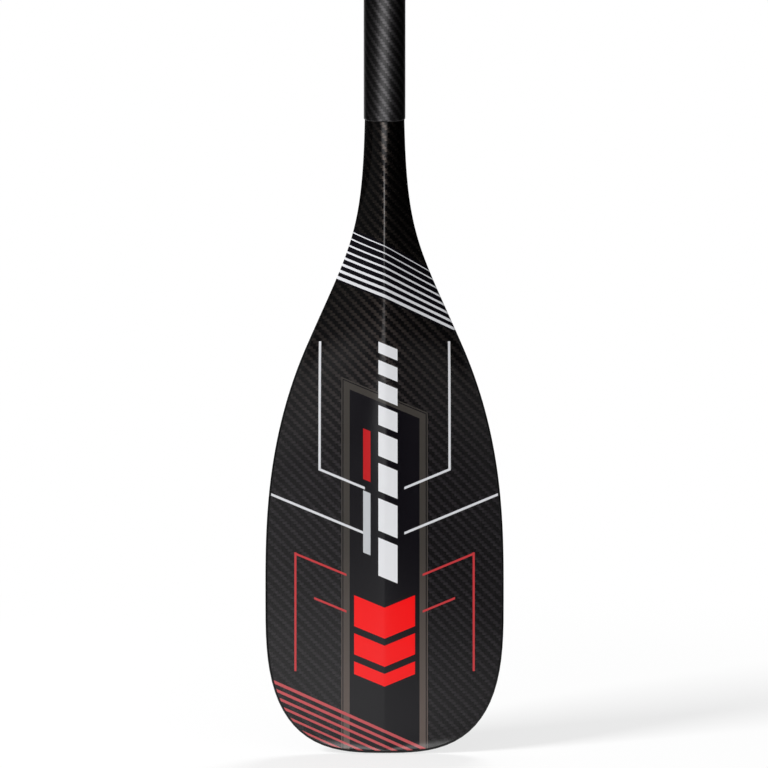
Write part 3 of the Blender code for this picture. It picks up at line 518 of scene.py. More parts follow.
# The painted neck glint: full at the first place down the blade, in metres, and gone at the second.
PAINTED_NECK_GLINT = (0.080, 0.260)
INK_ROUGHNESS = 0.5
CLOTH_ROUGHNESS = 0.33
PANEL_HALF = 30.7
PANEL_TOP = 196.0
BORDER_LINE = 0.8
BORDER_INNER = 1.5
PANEL_INNER = 5.9
PANEL_DEPTH = 500.0
BORDER_FADE = (300.0, 450.0)
BARS = (
    (160.0, 8.0), (173.0, 10.0), (188.0, 12.0), (205.0, 14.0), (224.0, 17.0), (246.0, 20.0), (271.0, 23.0),
    (299.0, 27.0),
)
BAR_CENTRE = 2.4
BAR_HALF = 6.8
TAGS = ((226.0, 36.0, linear("c5161c")), (270.0, 44.0, linear("c9ccd0")))
TAG_CENTRE = -12.6
TAG_HALF = 2.6
CHEVRONS = ((347.0, 22.0), (374.0, 15.0), (394.0, 9.0))
CHEVRON_HALF = 21.6
WHITE = linear("e2e3e7")
BAR_WHITE = linear("eeeff2")
RED = linear("ff0004")
LINE_RED = linear("c83a3e")
TIP_RED = linear("c65357")
PANEL_BLACK = linear("05020a")
BORDER_TOP_GREY = linear("413d39")
BORDER_TIP_GREY = linear("655852")
VEE_LINES = (
    (267.1, 268.9, 14.0, 47.0, WHITE), (299.1, 300.9, 14.0, 90.0, WHITE),
    (334.1, 335.7, 27.0, 64.0, LINE_RED), (360.1, 361.7, 27.0, 50.0, LINE_RED),
)
UPRIGHT_LINES = ((158.0, 249.4, 45.3, 47.0, WHITE), (307.7, 392.0, 62.5, 64.0, LINE_RED))


def stripes(tree, across, first, pitch, count, width, growth):
    """1 on each of a row of stripes, given the first one's centre, their pitch and how their width changes."""
    place = add_node(tree, "Math", {0: across, 1: first}, operation="SUBTRACT")
    place = add_node(tree, "Math", {0: place, 1: pitch}, operation="DIVIDE")
    place = add_node(tree, "Math", {0: place, 1: 0.5}, operation="ADD")
    number = add_node(tree, "Math", {0: place}, operation="FLOOR")
    part = add_node(tree, "Math", {0: place, 1: number}, operation="SUBTRACT")
    off = add_node(tree, "Math", {0: part, 1: 0.5}, operation="SUBTRACT")
    off = add_node(tree, "Math", {0: off}, operation="ABSOLUTE")
    half = add_node(tree, "Math", {0: number, 1: growth / pitch / 2, 2: width / pitch / 2}, operation="MULTIPLY_ADD")
    inside = add_node(tree, "Math", {0: off, 1: half}, operation="LESS_THAN")
    middle = (count - 1) / 2
    counted = add_node(tree, "Math", {0: number, 1: middle, 2: middle + 0.1}, operation="COMPARE")
    return add_node(tree, "Math", {0: inside, 1: counted}, operation="MULTIPLY")


def patch(tree, *limits):
    """1 where each (value, lowest, highest) holds."""
    made = 1.0
    for value, low, high in limits:
        inside = add_node(tree, "Math", {0: value, 1: (low + high) / 2, 2: (high - low) / 2}, operation="COMPARE")
        made = add_node(tree, "Math", {0: inside, 1: made}, operation="MULTIPLY")
    return made


# Gloss clear coat over woven carbon: the coat mirrors the room sharply, and the weave glints faintly under it. Down the
# neck the cloth's pale tows are painted paler and warmer, a painted glint for the light where the neck bends. Where the
# livery is printed, the ink hides the weave.
front_finish, tree, shader = new_material(
    "twill_carbon_printed_gloss_coat", Specular_IOR_Level=0.05, Coat_Weight=1.0, Coat_Roughness=0.05, Coat_IOR=1.5
)
cloth = add_node(tree, "SeparateXYZ", {0: add_node(tree, "UVMap", uv_map="cloth")})
painted_glint = add_node(
    tree, "MapRange", {0: cloth.outputs["Y"], 1: PAINTED_NECK_GLINT[0], 2: PAINTED_NECK_GLINT[1], 3: 1.0, 4: 0.0},
    interpolation_type="SMOOTHSTEP",
)
# The cloth's pale tows, painted paler and warmer down the neck as a painted glint.
pale = add_node(tree, "Mix", {0: painted_glint, 6: linear("2a272a"), 7: linear("4a433f")}, data_type="RGBA").outputs[2]
ink, raised = carbon_look(tree, cloth.outputs["X"], cloth.outputs["Y"], TOW, "131113", pale)
u = add_node(tree, "Math", {0: cloth.outputs["X"], 1: 1000.0}, operation="MULTIPLY")
s = add_node(tree, "Math", {0: cloth.outputs["Y"], 1: 1000.0}, operation="MULTIPLY")
out = add_node(tree, "Math", {0: u}, operation="ABSOLUTE")
slant = add_node(tree, "Math", {0: u, 1: -math.tan(SLANT_ANGLE), 2: s}, operation="MULTIPLY_ADD")
vee = add_node(tree, "Math", {0: out, 1: math.tan(SLANT_ANGLE), 2: s}, operation="MULTIPLY_ADD")
left = add_node(tree, "Math", {0: u, 1: 0.0}, operation="MINIMUM")
right = add_node(tree, "Math", {0: u, 1: 0.0}, operation="MAXIMUM")
top = add_node(tree, "Math", {0: left, 1: -TOP_SLANTS[0], 2: s}, operation="MULTIPLY_ADD")
top = add_node(tree, "Math", {0: right, 1: -TOP_SLANTS[1], 2: top}, operation="MULTIPLY_ADD")
fan = add_node(tree, "Math", {0: right, 1: -TOP_FAN, 2: 1.0}, operation="MULTIPLY_ADD")
top = add_node(tree, "Math", {0: top, 1: fan}, operation="DIVIDE")
tip = add_node(tree, "Math", {0: u, 1: -TIP_SLANT, 2: s}, operation="MULTIPLY_ADD")
sunk = add_node(tree, "Math", {0: slant, 1: PANEL_TOP}, operation="SUBTRACT")
sunk = add_node(tree, "Math", {0: sunk, 1: math.cos(SLANT_ANGLE)}, operation="MULTIPLY")
side = add_node(tree, "Math", {0: PANEL_HALF, 1: out}, operation="SUBTRACT")
inset = add_node(tree, "Math", {0: sunk, 1: side}, operation="MINIMUM")
faded = add_node(tree, "MapRange", {0: s, 1: BORDER_FADE[0], 2: BORDER_FADE[1]})
border_grey = add_node(tree, "Mix", {0: faded, 6: BORDER_TOP_GREY, 7: BORDER_TIP_GREY}, data_type="RGBA").outputs[2]
prints = [
    (patch(tree, (top, *TOP_BAND)), PANEL_BLACK),
    (patch(tree, (inset, 0.0, BORDER_LINE)), border_grey),
    (patch(tree, (inset, BORDER_LINE, BORDER_INNER)), PANEL_BLACK),
    (patch(tree, (inset, BORDER_INNER, PANEL_INNER)), border_grey),
    (patch(tree, (inset, PANEL_INNER, PANEL_DEPTH)), PANEL_BLACK),
]
for way, lines in ((vee, VEE_LINES), (s, UPRIGHT_LINES)):
    for low, high, inner, outer, colour in lines:
        prints.append((patch(tree, (way, low, high), (out, inner, outer)), colour))
for low, tall in BARS:
    prints.append((patch(tree, (slant, low, low + tall), (u, BAR_CENTRE - BAR_HALF, BAR_CENTRE + BAR_HALF)), BAR_WHITE))
for low, tall, colour in TAGS:
    prints.append((patch(tree, (slant, low, low + tall), (u, TAG_CENTRE - TAG_HALF, TAG_CENTRE + TAG_HALF)), colour))
for low, tall in CHEVRONS:
    prints.append((patch(tree, (vee, low, low + tall), (out, -1.0, CHEVRON_HALF)), RED))
prints.append((stripes(tree, top, *TOP_STRIPES), WHITE))
prints.append((stripes(tree, tip, *TIP_STRIPES), TIP_RED))
bare = 1.0
for mask, colour in prints:
    ink = add_node(tree, "Mix", {0: mask, 6: ink, 7: colour}, data_type="RGBA").outputs[2]
    left = add_node(tree, "Math", {0: 1.0, 1: mask}, operation="SUBTRACT")
    bare = add_node(tree, "Math", {0: left, 1: bare}, operation="MULTIPLY")
bump = add_node(tree, "Bump", {"Height": raised, "Distance": WEAVE_RELIEF, "Strength": bare})
rough = add_node(tree, "MapRange", {0: bare, 3: INK_ROUGHNESS, 4: CLOTH_ROUGHNESS})
feed(shader, {"Base Color": ink, "Metallic": bare, "Roughness": rough, "Normal": bump})

ridge = blade_skin(ridge_height, RIDGE_FORMS, 1)
thicken(new_piece("front_skin", ridge, front_finish, "lower", "blade_front", "blade_front_skin"), SKIN)

# The blade's back skin: the same cloth and clear coat, moulded in the tool's other half. It has a low round spine
# down from the neck, no ridge line and no print.
SPINE_HANDLES = ((0.050, 0.0135), (0.120, 0.0022))
SPINE_FORMS = (0.0, 0.100)

# Gloss clear coat over bare cloth: sharp reflections, and the weave shows through in dark greys.
back_finish, tree, shader = new_material(
    "twill_carbon_gloss_coat", Roughness=0.28, Metallic=1.0, Coat_Weight=1.0, Coat_Roughness=0.06, Coat_IOR=1.5
)
cloth = add_node(tree, "SeparateXYZ", {0: add_node(tree, "UVMap", uv_map="cloth")})
weave, raised = carbon_look(tree, cloth.outputs["X"], cloth.outputs["Y"], TOW, "0a090a", linear("322f32"))
bump = add_node(tree, "Bump", {"Height": raised, "Distance": WEAVE_RELIEF})
feed(shader, {"Base Color": weave, "Normal": bump})

spine_height = drawn_curve(((0.0, NECK_RADIUS), *SPINE_HANDLES, (BLADE_LENGTH, tip_height)))
spine = blade_skin(spine_height, SPINE_FORMS, -1)
thicken(new_piece("back_skin", spine, back_finish, "lower", "blade_back", "blade_back_skin"), SKIN)

# The edge rail: a strip of black ABS bonded round the blade's border, between the skins, with a round nose that
# takes the knocks.
RAIL_NOSE_STEPS = 10
SCUFF_SIZE = 0.0011
SCUFF_SHADES = ((0.45, "060607"), (0.75, "101011"))

# Satin plastic: black, and scuffed in places to a slightly paler and duller grey.
rail_finish, tree, shader = new_material(
    "black_abs_satin", Specular_IOR_Level=0.3, Coat_Weight=0.5, Coat_Roughness=0.18
)
place = add_node(tree, "TexCoord").outputs["Object"]
scuffs = add_node(tree, "TexNoise", {"Vector": place, "Scale": 1.0 / SCUFF_SIZE, "Detail": 4.0, "Roughness": 0.7})
shade = add_node(tree, "ValToRGB", {0: scuffs})
for stop, (at, colour) in zip(shade.color_ramp.elements, SCUFF_SHADES):
    stop.position, stop.color = at, linear(colour)
rough = add_node(tree, "MapRange", {0: scuffs, 1: 0.3, 2: 0.8, 3: 0.32, 4: 0.55})
feed(shader, {"Base Color": shade, "Roughness": rough})

half = EDGE_THICKNESS / 2
nose = [math.radians(90.0 - 180.0 * i / RAIL_NOSE_STEPS) for i in range(RAIL_NOSE_STEPS + 1)]
section = [(RAIL_WIDTH, half)] + [(half - half * math.cos(a), half * math.sin(a)) for a in nose]
section += [(RAIL_WIDTH, -half), (RAIL_WIDTH, half)]
shape = bmesh.new()
bmesh.ops.create_grid(shape, x_segments=len(section) - 1, y_segments=len(border) - 1, size=1.0)
for vert in shape.verts:
    corner, step = grid_place(vert, len(section) - 1, len(border) - 1)
    inwards, out = section[corner]
    vert.co = blade_point(*border_place(step, inwards), out)
bmesh.ops.remove_doubles(shape, verts=shape.verts, dist=1e-6)
bmesh.ops.holes_fill(shape, edges=shape.edges)
bmesh.ops.recalc_face_normals(shape, faces=shape.faces)
new_piece("edge_rail", shape, rail_finish, "lower", "edge_rail", "blade_edge_rail")

# The blade's core: closed-cell foam, milled to shape and bonded between the skins, which close it in.
# Its cells are drawn at 0.7 mm, about twice their real size, so that they show.
FOAM_CELL = 0.0007
FOAM_PIT = 0.0002


def foam(name, roughness):
    """Fine closed cells, as small pits with painted shade in them."""
    made, tree, shader = new_material(name, Roughness=roughness)
    place = add_node(tree, "TexCoord").outputs["Object"]
    cells = add_node(tree, "TexVoronoi", {"Vector": place, "Scale": 1.0 / FOAM_CELL})
    shade = add_node(tree, "Mix", {0: cells, 6: linear("d2cdc2"), 7: linear("ebe7de")}, data_type="RGBA").outputs[2]
    bump = add_node(tree, "Bump", {"Height": cells, "Distance": FOAM_PIT, "Strength": 0.5})
    feed(shader, {"Base Color": shade, "Normal": bump})
    return made


def dress(node, material):
    """Gives a carried-over CAD node its finish."""
    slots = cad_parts[node].data.materials
    slots.clear()
    slots.append(material)


# Milled foam: matt off-white, with the cutter's opened cells as fine pits darkened with painted shade.
dress("blade_core", foam("milled_white_foam", 0.9))

# The neck tenon: a moulded carbon spigot of the blade, sanded for the glue and pushed up into the shaft, which
# hides it.
SANDING_MARK = 0.0014

# Sanded laminate: dull dark grey, clouded by the abrasive, with none of the clear coat's gloss.
tenon_finish, tree, shader = new_material("sanded_carbon_laminate", Roughness=0.6)
place = add_node(tree, "TexCoord").outputs["Object"]
marks = add_node(tree, "TexNoise", {"Vector": place, "Scale": 1.0 / SANDING_MARK, "Detail": 5.0})
shade = add_node(tree, "Mix", {0: marks, 6: linear("0f0f10"), 7: linear("242425")}, data_type="RGBA").outputs[2]
feed(shader, {"Base Color": shade})
dress("neck_tenon", tenon_finish)

# The lower shaft: a tube of rolled twill carbon prepreg with a satin lacquer, ground to a small round at its ends.
# Four slits at the top let the clamp squeeze it, and a hole takes the collar's lock screw.
SHAFT_WALL = 0.0014
SHAFT_BORE = SHAFT_RADIUS - SHAFT_WALL
LOWER_LENGTH = 0.950
SHAFT_EDGE = 0.0008
SLIT_WIDTH = 0.002
SLIT_LENGTH = 0.040
SHAFT_TOW = 0.00183
SHAFT_RELIEF = 0.0001
WRAP_ANGLE = math.radians(6.0)
SCREW_DROP = 0.027
SCREW_ANGLE = math.radians(-45.0)
SCREW_DIAMETER = 0.003
SCREW_PLACE = Matrix.Translation((0, 0, LOWER_LENGTH - SCREW_DROP)) @ Matrix.Rotation(SCREW_ANGLE, 4, "Z")
FLAT_WITHIN = math.radians(0.5)


def turned(profile, ring=True, steps=96, place=Matrix.Identity(4)):
    """A bmesh turned about a place's Z from (radius, height) points: a ring, or a body whose ends are on the axis."""
    shape = bmesh.new()
    corners = [shape.verts.new((radius, 0.0, height)) for radius, height in profile]
    follows = corners[1:] + corners[:1] if ring else corners[1:]
    edges = [shape.edges.new(pair) for pair in zip(corners, follows)]
    bmesh.ops.spin(
        shape, geom=corners + edges, cent=(0, 0, 0), axis=(0, 0, 1), dvec=(0, 0, 0), angle=math.tau,
        steps=steps, use_merge=True,
    )
    bmesh.ops.remove_doubles(shape, verts=shape.verts, dist=1e-6)
    bmesh.ops.recalc_face_normals(shape, faces=shape.faces)
    bmesh.ops.transform(shape, matrix=place, verts=shape.verts)
    return shape


def outer_profile(radius, low, high, edge, steps):
    """The outer face of a turned part, from its top to its bottom, with both its edges rounded."""
    turns = [math.pi / 2 * i / steps for i in range(steps + 1)]
    top = [(radius - edge * (1 - math.sin(a)), high - edge * (1 - math.cos(a))) for a in turns]
    return top + [(radius - edge * (1 - math.cos(a)), low + edge * (1 - math.sin(a))) for a in turns]


def box(low, high):
    """A bmesh box between two corners."""
    shape = bmesh.new()
    low = Vector(low)
    high = Vector(high)
    bmesh.ops.create_cube(shape, matrix=Matrix.Translation((low + high) / 2) @ Matrix.Diagonal((*(high - low), 1.0)))
    return shape


def rod(radius, start, end, place=Matrix.Identity(4)):
    """A bmesh cylinder along a place's X."""
    shape = bmesh.new()
    along = Matrix.Translation(((start + end) / 2, 0, 0)) @ Matrix.Rotation(math.pi / 2, 4, "Y")
    bmesh.ops.create_cone(
        shape, cap_ends=True, segments=64, radius1=radius, radius2=radius, depth=end - start, matrix=place @ along
    )
    return shape


def worked(shape, *operations):
    """A bmesh after cuts and joins, given as (operation, bmesh) pairs."""
    solids = []
    for solid in [shape] + [helper for _, helper in operations]:
        mesh = bpy.data.meshes.new("blank")
        solid.to_mesh(mesh)
        solid.free()
        solids.append(bpy.data.objects.new("blank", mesh))
        scene.collection.objects.link(solids[-1])
    for (operation, _), helper in zip(operations, solids[1:]):
        step = solids[0].modifiers.new("step", "BOOLEAN")
        step.operation = operation
        step.object = helper
    evaluated = solids[0].evaluated_get(bpy.context.evaluated_depsgraph_get())
    result = bmesh.new()
    result.from_mesh(evaluated.to_mesh())
    for solid in solids:
        bpy.data.objects.remove(solid, do_unlink=True)
    bmesh.ops.dissolve_limit(
        result, angle_limit=FLAT_WITHIN, verts=result.verts, edges=result.edges, delimit={"NORMAL"}
    )
    return result


def lacquered_twill(name, radius):
    """The finish of a tube of this radius: cloth wrapped round it at a slight angle, with its seam at the back."""
    made, tree, shader = new_material(
        name, Roughness=0.46, Metallic=1.0, Coat_Weight=0.6, Coat_Roughness=0.3, Coat_IOR=1.5
    )
    place = add_node(tree, "SeparateXYZ", {0: add_node(tree, "TexCoord").outputs["Object"]})
    front = add_node(tree, "Math", {0: place.outputs["Y"], 1: -1.0}, operation="MULTIPLY")
    turn = add_node(tree, "Math", {0: place.outputs["X"], 1: front}, operation="ARCTAN2")
    across = add_node(tree, "Math", {0: turn, 1: radius}, operation="MULTIPLY")
    down = add_node(tree, "Math", {0: place.outputs["Z"], 1: -1.0}, operation="MULTIPLY")
    flat = add_node(tree, "CombineXYZ", {0: across, 1: down})
    laid = add_node(tree, "VectorRotate", {"Vector": flat, "Angle": -WRAP_ANGLE}, rotation_type="Z_AXIS")
    laid = add_node(tree, "SeparateXYZ", {0: laid})
    weave, raised = carbon_look(tree, laid.outputs["X"], laid.outputs["Y"], SHAFT_TOW, "272627", linear("4e4c4e"))
    bump = add_node(tree, "Bump", {"Height": raised, "Distance": SHAFT_RELIEF})
    feed(shader, {"Base Color": weave, "Normal": bump})
    return made


# Satin lacquer over woven carbon: one soft upright highlight, with the twill's steep ribs in it.
shaft_finish = lacquered_twill("twill_carbon_satin_lacquer", SHAFT_RADIUS)

profile = [(SHAFT_BORE, 0.0), (SHAFT_BORE, LOWER_LENGTH)]
profile += outer_profile(SHAFT_RADIUS, 0.0, LOWER_LENGTH, SHAFT_EDGE, 3)
low = LOWER_LENGTH - SLIT_LENGTH
high = LOWER_LENGTH + SLIT_LENGTH
half = SLIT_WIDTH / 2
far = 2 * SHAFT_RADIUS
tube = worked(
    turned(profile, steps=128),
    ("DIFFERENCE", box((-far, -half, low), (far, half, high))),
    ("DIFFERENCE", box((-half, -far, low), (half, far, high))),
    ("DIFFERENCE", rod(SCREW_DIAMETER / 2 + GAP, SHAFT_BORE / 2, far, SCREW_PLACE)),
)
new_piece("shaft_tube", tube, shaft_finish, "lower", "shaft_twill", "lower_shaft")

# The float plug: a round stopper cut from closed-cell foam and glued in the shaft above the tenon. It keeps the
# water out, so that the paddle floats.

# Knife-cut foam: the same off-white cells, duller still.
dress("shaft_float_plug", foam("cut_white_foam", 0.95))

# The upper shaft's end plug: moulded nylon, glued into the tube's lower end, with a groove for a rubber ring. The
# ring drags in the lower tube, so that the grip doesn't drop when the clamp opens.


def grained(name, roughness, dark, pale, grain, depth):
    """A plastic or rubber with a fine grain, drawn some times coarser than its real 0.1 mm so that it shows."""
    made, tree, shader = new_material(name, Roughness=roughness)
    place = add_node(tree, "TexCoord").outputs["Object"]
    noise = add_node(tree, "TexNoise", {"Vector": place, "Scale": 1.0 / grain, "Detail": 3.0, "Roughness": 0.6})
    shade = add_node(tree, "Mix", {0: noise, 6: linear(dark), 7: linear(pale)}, data_type="RGBA").outputs[2]
    bump = add_node(tree, "Bump", {"Height": noise, "Distance": depth, "Strength": 0.5})
    feed(shader, {"Base Color": shade, "Normal": bump})
    return made


# Moulded nylon: an even black with a low sheen. Nitrile rubber: matt, and darker.
nylon_finish = grained("moulded_black_nylon", 0.45, "17171a", "232326", grain=0.0007, depth=0.00004)
ring_finish = grained("nitrile_rubber", 0.75, "101010", "1a1a1a", grain=0.00045, depth=0.00002)
dress("upper_end_plug", nylon_finish)
dress("plug_o_ring", ring_finish)

# The upper shaft: a thinner tube of the same cloth that slides in the lower one. A shallow keyway pressed into
# its front runs on the bush's key and keeps the grip in line with the blade.
UPPER_WALL = 0.0013
UPPER_LENGTH = 0.737
UPPER_OVERLAP = 0.443
UPPER_RADIUS = SHAFT_BORE - GAP
UPPER_BORE = UPPER_RADIUS - UPPER_WALL
UPPER_BOTTOM = LOWER_LENGTH - UPPER_OVERLAP
UPPER_TOP = UPPER_BOTTOM + UPPER_LENGTH
KEYWAY_DEPTH = 0.0009
KEYWAY_FLOOR_ANGLE = math.radians(14.0)
KEYWAY_MOUTH_ANGLE = math.radians(24.0)
KEYWAY_RISE = 0.093
KEYWAY_LENGTH = 0.460
KEYWAY_RAMP = 0.010
KEYWAY_RAMP_STEPS = 10
TUBE_STEPS = 144

# The same satin lacquer, so that the lower tube's highlight and ribs run on above the clamp.
upper_finish = lacquered_twill("twill_carbon_satin_tube", UPPER_RADIUS)

start = UPPER_BOTTOM + KEYWAY_RISE
end = start + KEYWAY_LENGTH
ramp = [KEYWAY_RAMP * i / KEYWAY_RAMP_STEPS for i in range(KEYWAY_RAMP_STEPS + 1)]
levels = [UPPER_BOTTOM, start - 2 * KEYWAY_RAMP] + [start - rise for rise in reversed(ramp)]
levels += [end + rise for rise in ramp] + [end + 2 * KEYWAY_RAMP, UPPER_TOP]
shape = bmesh.new()
bmesh.ops.create_grid(shape, x_segments=TUBE_STEPS, y_segments=len(levels) - 1, size=1.0)
for vert in shape.verts:
    column, row = grid_place(vert, TUBE_STEPS, len(levels) - 1)
    turn = math.tau * column / TUBE_STEPS - math.pi / 2
    off_front = min(column, TUBE_STEPS - column) * math.tau / TUBE_STEPS
    pressed = 1.0 - blend(off_front, KEYWAY_FLOOR_ANGLE / 2, KEYWAY_MOUTH_ANGLE / 2)
    pressed *= blend(levels[row], start - KEYWAY_RAMP, start) * (1.0 - blend(levels[row], end, end + KEYWAY_RAMP))
    radius = UPPER_RADIUS - KEYWAY_DEPTH * pressed
    vert.co = (radius * math.cos(turn), radius * math.sin(turn), levels[row])
bmesh.ops.remove_doubles(shape, verts=shape.verts, dist=1e-6)
bmesh.ops.recalc_face_normals(shape, faces=shape.faces)
thicken(new_piece("sliding_tube", shape, upper_finish, "upper", "upper_carbon", "upper_shaft"), UPPER_WALL)

# The clamp collar: aluminium, turned and milled, bead-blasted and anodised black. It is pushed over the shaft's
# end, split at the back between two ears, and its lip keeps the bush in.
COLLAR_WALL = 0.00345
COLLAR_BELOW = 0.034
COLLAR_ABOVE = 0.012
COLLAR_LIP = 0.002
COLLAR_EDGE = 0.001
COLLAR_BORE = SHAFT_RADIUS + GAP
COLLAR_RADIUS = COLLAR_BORE + COLLAR_WALL
COLLAR_BOTTOM = LOWER_LENGTH - COLLAR_BELOW
COLLAR_TOP = LOWER_LENGTH + COLLAR_ABOVE
EAR_THICKNESS = 0.008
EAR_HEIGHT = 0.024
EAR_MARGIN = 0.0065
EAR_ROUNDING = 0.003
CLAMP_SLIT = 0.003
BOLT_STANDOFF = 0.006
BOLT_DROP = 0.017
BOLT_DIAMETER = 0.005
HOLE_CLEARANCE = 0.0005
SCREW_HEAD_DIAMETER = 0.0055
SCREW_HEAD = 0.0016
CLAMP_Z = LOWER_LENGTH - BOLT_DROP
BOLT_RADIUS = BOLT_DIAMETER / 2
BOLT_HOLE = BOLT_RADIUS + HOLE_CLEARANCE
BOLT_OUT = COLLAR_RADIUS + BOLT_STANDOFF
EAR_END = BOLT_OUT + EAR_MARGIN
EAR_FACE = CLAMP_SLIT / 2 + EAR_THICKNESS
BOLT_PLACE = Matrix.Translation((0, BOLT_OUT, CLAMP_Z))
BLAST_GRAIN = 0.0003
BLAST_DEPTH = 0.00003
SHARP_FROM = math.radians(40.0)


def blasted(name, roughness, dark, pale):
    """Bead-blasted and dyed metal: a fine grain, drawn at 0.3 mm so that it shows, and edges rubbed slightly paler."""
    made, tree, shader = new_material(name, Metallic=1.0, Roughness=roughness)
    place = add_node(tree, "TexCoord").outputs["Object"]
    grain = add_node(tree, "TexNoise", {"Vector": place, "Scale": 1.0 / BLAST_GRAIN, "Detail": 2.0})
    worn = add_node(tree, "NewGeometry").outputs["Pointiness"]
    rubbed = add_node(tree, "MapRange", {0: worn, 1: 0.52, 2: 0.62})
    shade = add_node(tree, "Mix", {0: rubbed, 6: linear(dark), 7: linear(pale)}, data_type="RGBA").outputs[2]
    bump = add_node(tree, "Bump", {"Height": grain, "Distance": BLAST_DEPTH, "Strength": 0.4})
    feed(shader, {"Base Color": shade, "Normal": bump})
    return made


def soften(piece, width, segments=2):
    """Rounds a piece's sharp edges a little, as a machined or moulded edge is."""
    edges = piece.modifiers.new("edges", "BEVEL")
    edges.width = width
    edges.segments = segments
    edges.limit_method = "ANGLE"
    edges.angle_limit = SHARP_FROM
    edges.harden_normals = True


# Blasted and anodised black: a dark satin metal that spreads its highlights, with paler corners.
collar_finish = blasted("black_anodised_blasted_aluminium", 0.42, "3a3a3e", "5c5c62")

lip = UPPER_RADIUS + 2 * GAP
shelf = COLLAR_TOP - COLLAR_LIP
profile = [(COLLAR_BORE, COLLAR_BOTTOM), (COLLAR_BORE, shelf), (lip, shelf), (lip, COLLAR_TOP)]
profile += outer_profile(COLLAR_RADIUS, COLLAR_BOTTOM, COLLAR_TOP, COLLAR_EDGE, 4)
root = SHAFT_RADIUS + 2 * GAP
ears = box((-EAR_FACE, root, CLAMP_Z - EAR_HEIGHT / 2), (EAR_FACE, EAR_END, CLAMP_Z + EAR_HEIGHT / 2))
corners = [e for e in ears.edges if abs(e.verts[0].co.x - e.verts[1].co.x) > EAR_FACE and e.verts[0].co.y > root + GAP]
bmesh.ops.bevel(ears, geom=corners, offset=EAR_ROUNDING, segments=6, profile=0.5, affect="EDGES", material=-1)
far = 2 * EAR_END
sink = rod(SCREW_HEAD_DIAMETER / 2 + GAP, COLLAR_RADIUS - SCREW_HEAD - GAP, far, SCREW_PLACE)
collar = worked(
    turned(profile),
    ("UNION", ears),
    ("DIFFERENCE", box((-CLAMP_SLIT / 2, 0.0, COLLAR_BOTTOM - far), (CLAMP_SLIT / 2, far, COLLAR_TOP + far))),
    ("DIFFERENCE", rod(BOLT_HOLE, -far, far, BOLT_PLACE)),
    ("DIFFERENCE", rod(SCREW_DIAMETER / 2 + GAP, UPPER_BORE, far, SCREW_PLACE)),
    ("DIFFERENCE", sink),
)
soften(new_piece("split_collar", collar, collar_finish, "lower", "collar_alloy", "clamp_collar"), 0.0003)

# The collar's bush: a ring machined from acetal, cut so that it closes with the collar, and held under its lip. The
# key inside it runs in the upper tube's keyway.

# Machined acetal: pale grey with a waxy sheen.
dress("collar_bush", grained("machined_grey_acetal", 0.4, "8d8d90", "9a9a9d", grain=0.0011, depth=0.00003))

# The lock screw: turned stainless, with a socket in its head, set flush in the collar's side. Its end goes through
# the shaft's wall, so that the collar can't slip off.
SCREW_SOCKET_DIAMETER = 0.002
SCREW_SOCKET_DEPTH = 0.0009
TO_X_AXIS = Matrix.Rotation(math.pi / 2, 4, "Y")
TOOL_MARK = 0.0004


def turned_steel(name, pale, dark):
    """Fine tool marks as patches of shade and gloss, drawn at 0.4 mm so that they show."""
    made, tree, shader = new_material(name, Metallic=1.0)
    place = add_node(tree, "TexCoord").outputs["Object"]
    marks = add_node(tree, "TexNoise", {"Vector": place, "Scale": 1.0 / TOOL_MARK, "Detail": 3.0, "Roughness": 0.65})
    shade = add_node(tree, "Mix", {0: marks, 6: linear(pale), 7: linear(dark)}, data_type="RGBA").outputs[2]
    rough = add_node(tree, "MapRange", {0: marks, 3: 0.22, 4: 0.38})
    feed(shader, {"Base Color": shade, "Roughness": rough})
    return made


# Turned stainless steel: bright and neutral, with highlights that the tool marks break up.
screw_finish = turned_steel("turned_stainless_steel", "c9c8c6", "a9a8a6")

thread = SCREW_DIAMETER / 2
head = SCREW_HEAD_DIAMETER / 2
socket = SCREW_SOCKET_DIAMETER / 2
floor_level = COLLAR_RADIUS - SCREW_SOCKET_DEPTH
profile = [(0.0, floor_level), (socket, floor_level), (socket, COLLAR_RADIUS), (head, COLLAR_RADIUS)]
profile += [(head, COLLAR_RADIUS - SCREW_HEAD), (thread, COLLAR_RADIUS - SCREW_HEAD)]
profile += [(thread, SHAFT_BORE + GAP), (0.0, SHAFT_BORE + GAP)]
screw = turned(profile, ring=False, steps=48, place=SCREW_PLACE @ TO_X_AXIS)
soften(new_piece("lock_screw", screw, screw_finish, "lower", "screw_steel", "collar_lock_screw"), 0.0002)

# The cam saddle: a flat pad of moulded acetal between the cam and the near ear. The cam slides on it as it
# tightens, and the draw bolt passes through it.
SADDLE_THICKNESS = 0.0025
SADDLE_HALF_WIDTH = 0.0065
SADDLE_FACE = EAR_FACE + GAP + SADDLE_THICKNESS

# Moulded acetal: a little darker and duller than the machined bush.
saddle_finish = grained("moulded_grey_acetal", 0.42, "808083", "8e8e91", grain=0.0009, depth=0.00003)

low = (-SADDLE_FACE, BOLT_OUT - SADDLE_HALF_WIDTH, CLAMP_Z - EAR_HEIGHT / 2)
high = (-EAR_FACE - GAP, BOLT_OUT + SADDLE_HALF_WIDTH, CLAMP_Z + EAR_HEIGHT / 2)
pad = worked(box(low, high), ("DIFFERENCE", rod(BOLT_HOLE, -2 * SADDLE_FACE, 0.0, BOLT_PLACE)))
soften(new_piece("saddle_pad", pad, saddle_finish, "lower", "acetal", "cam_saddle"), 0.0004)

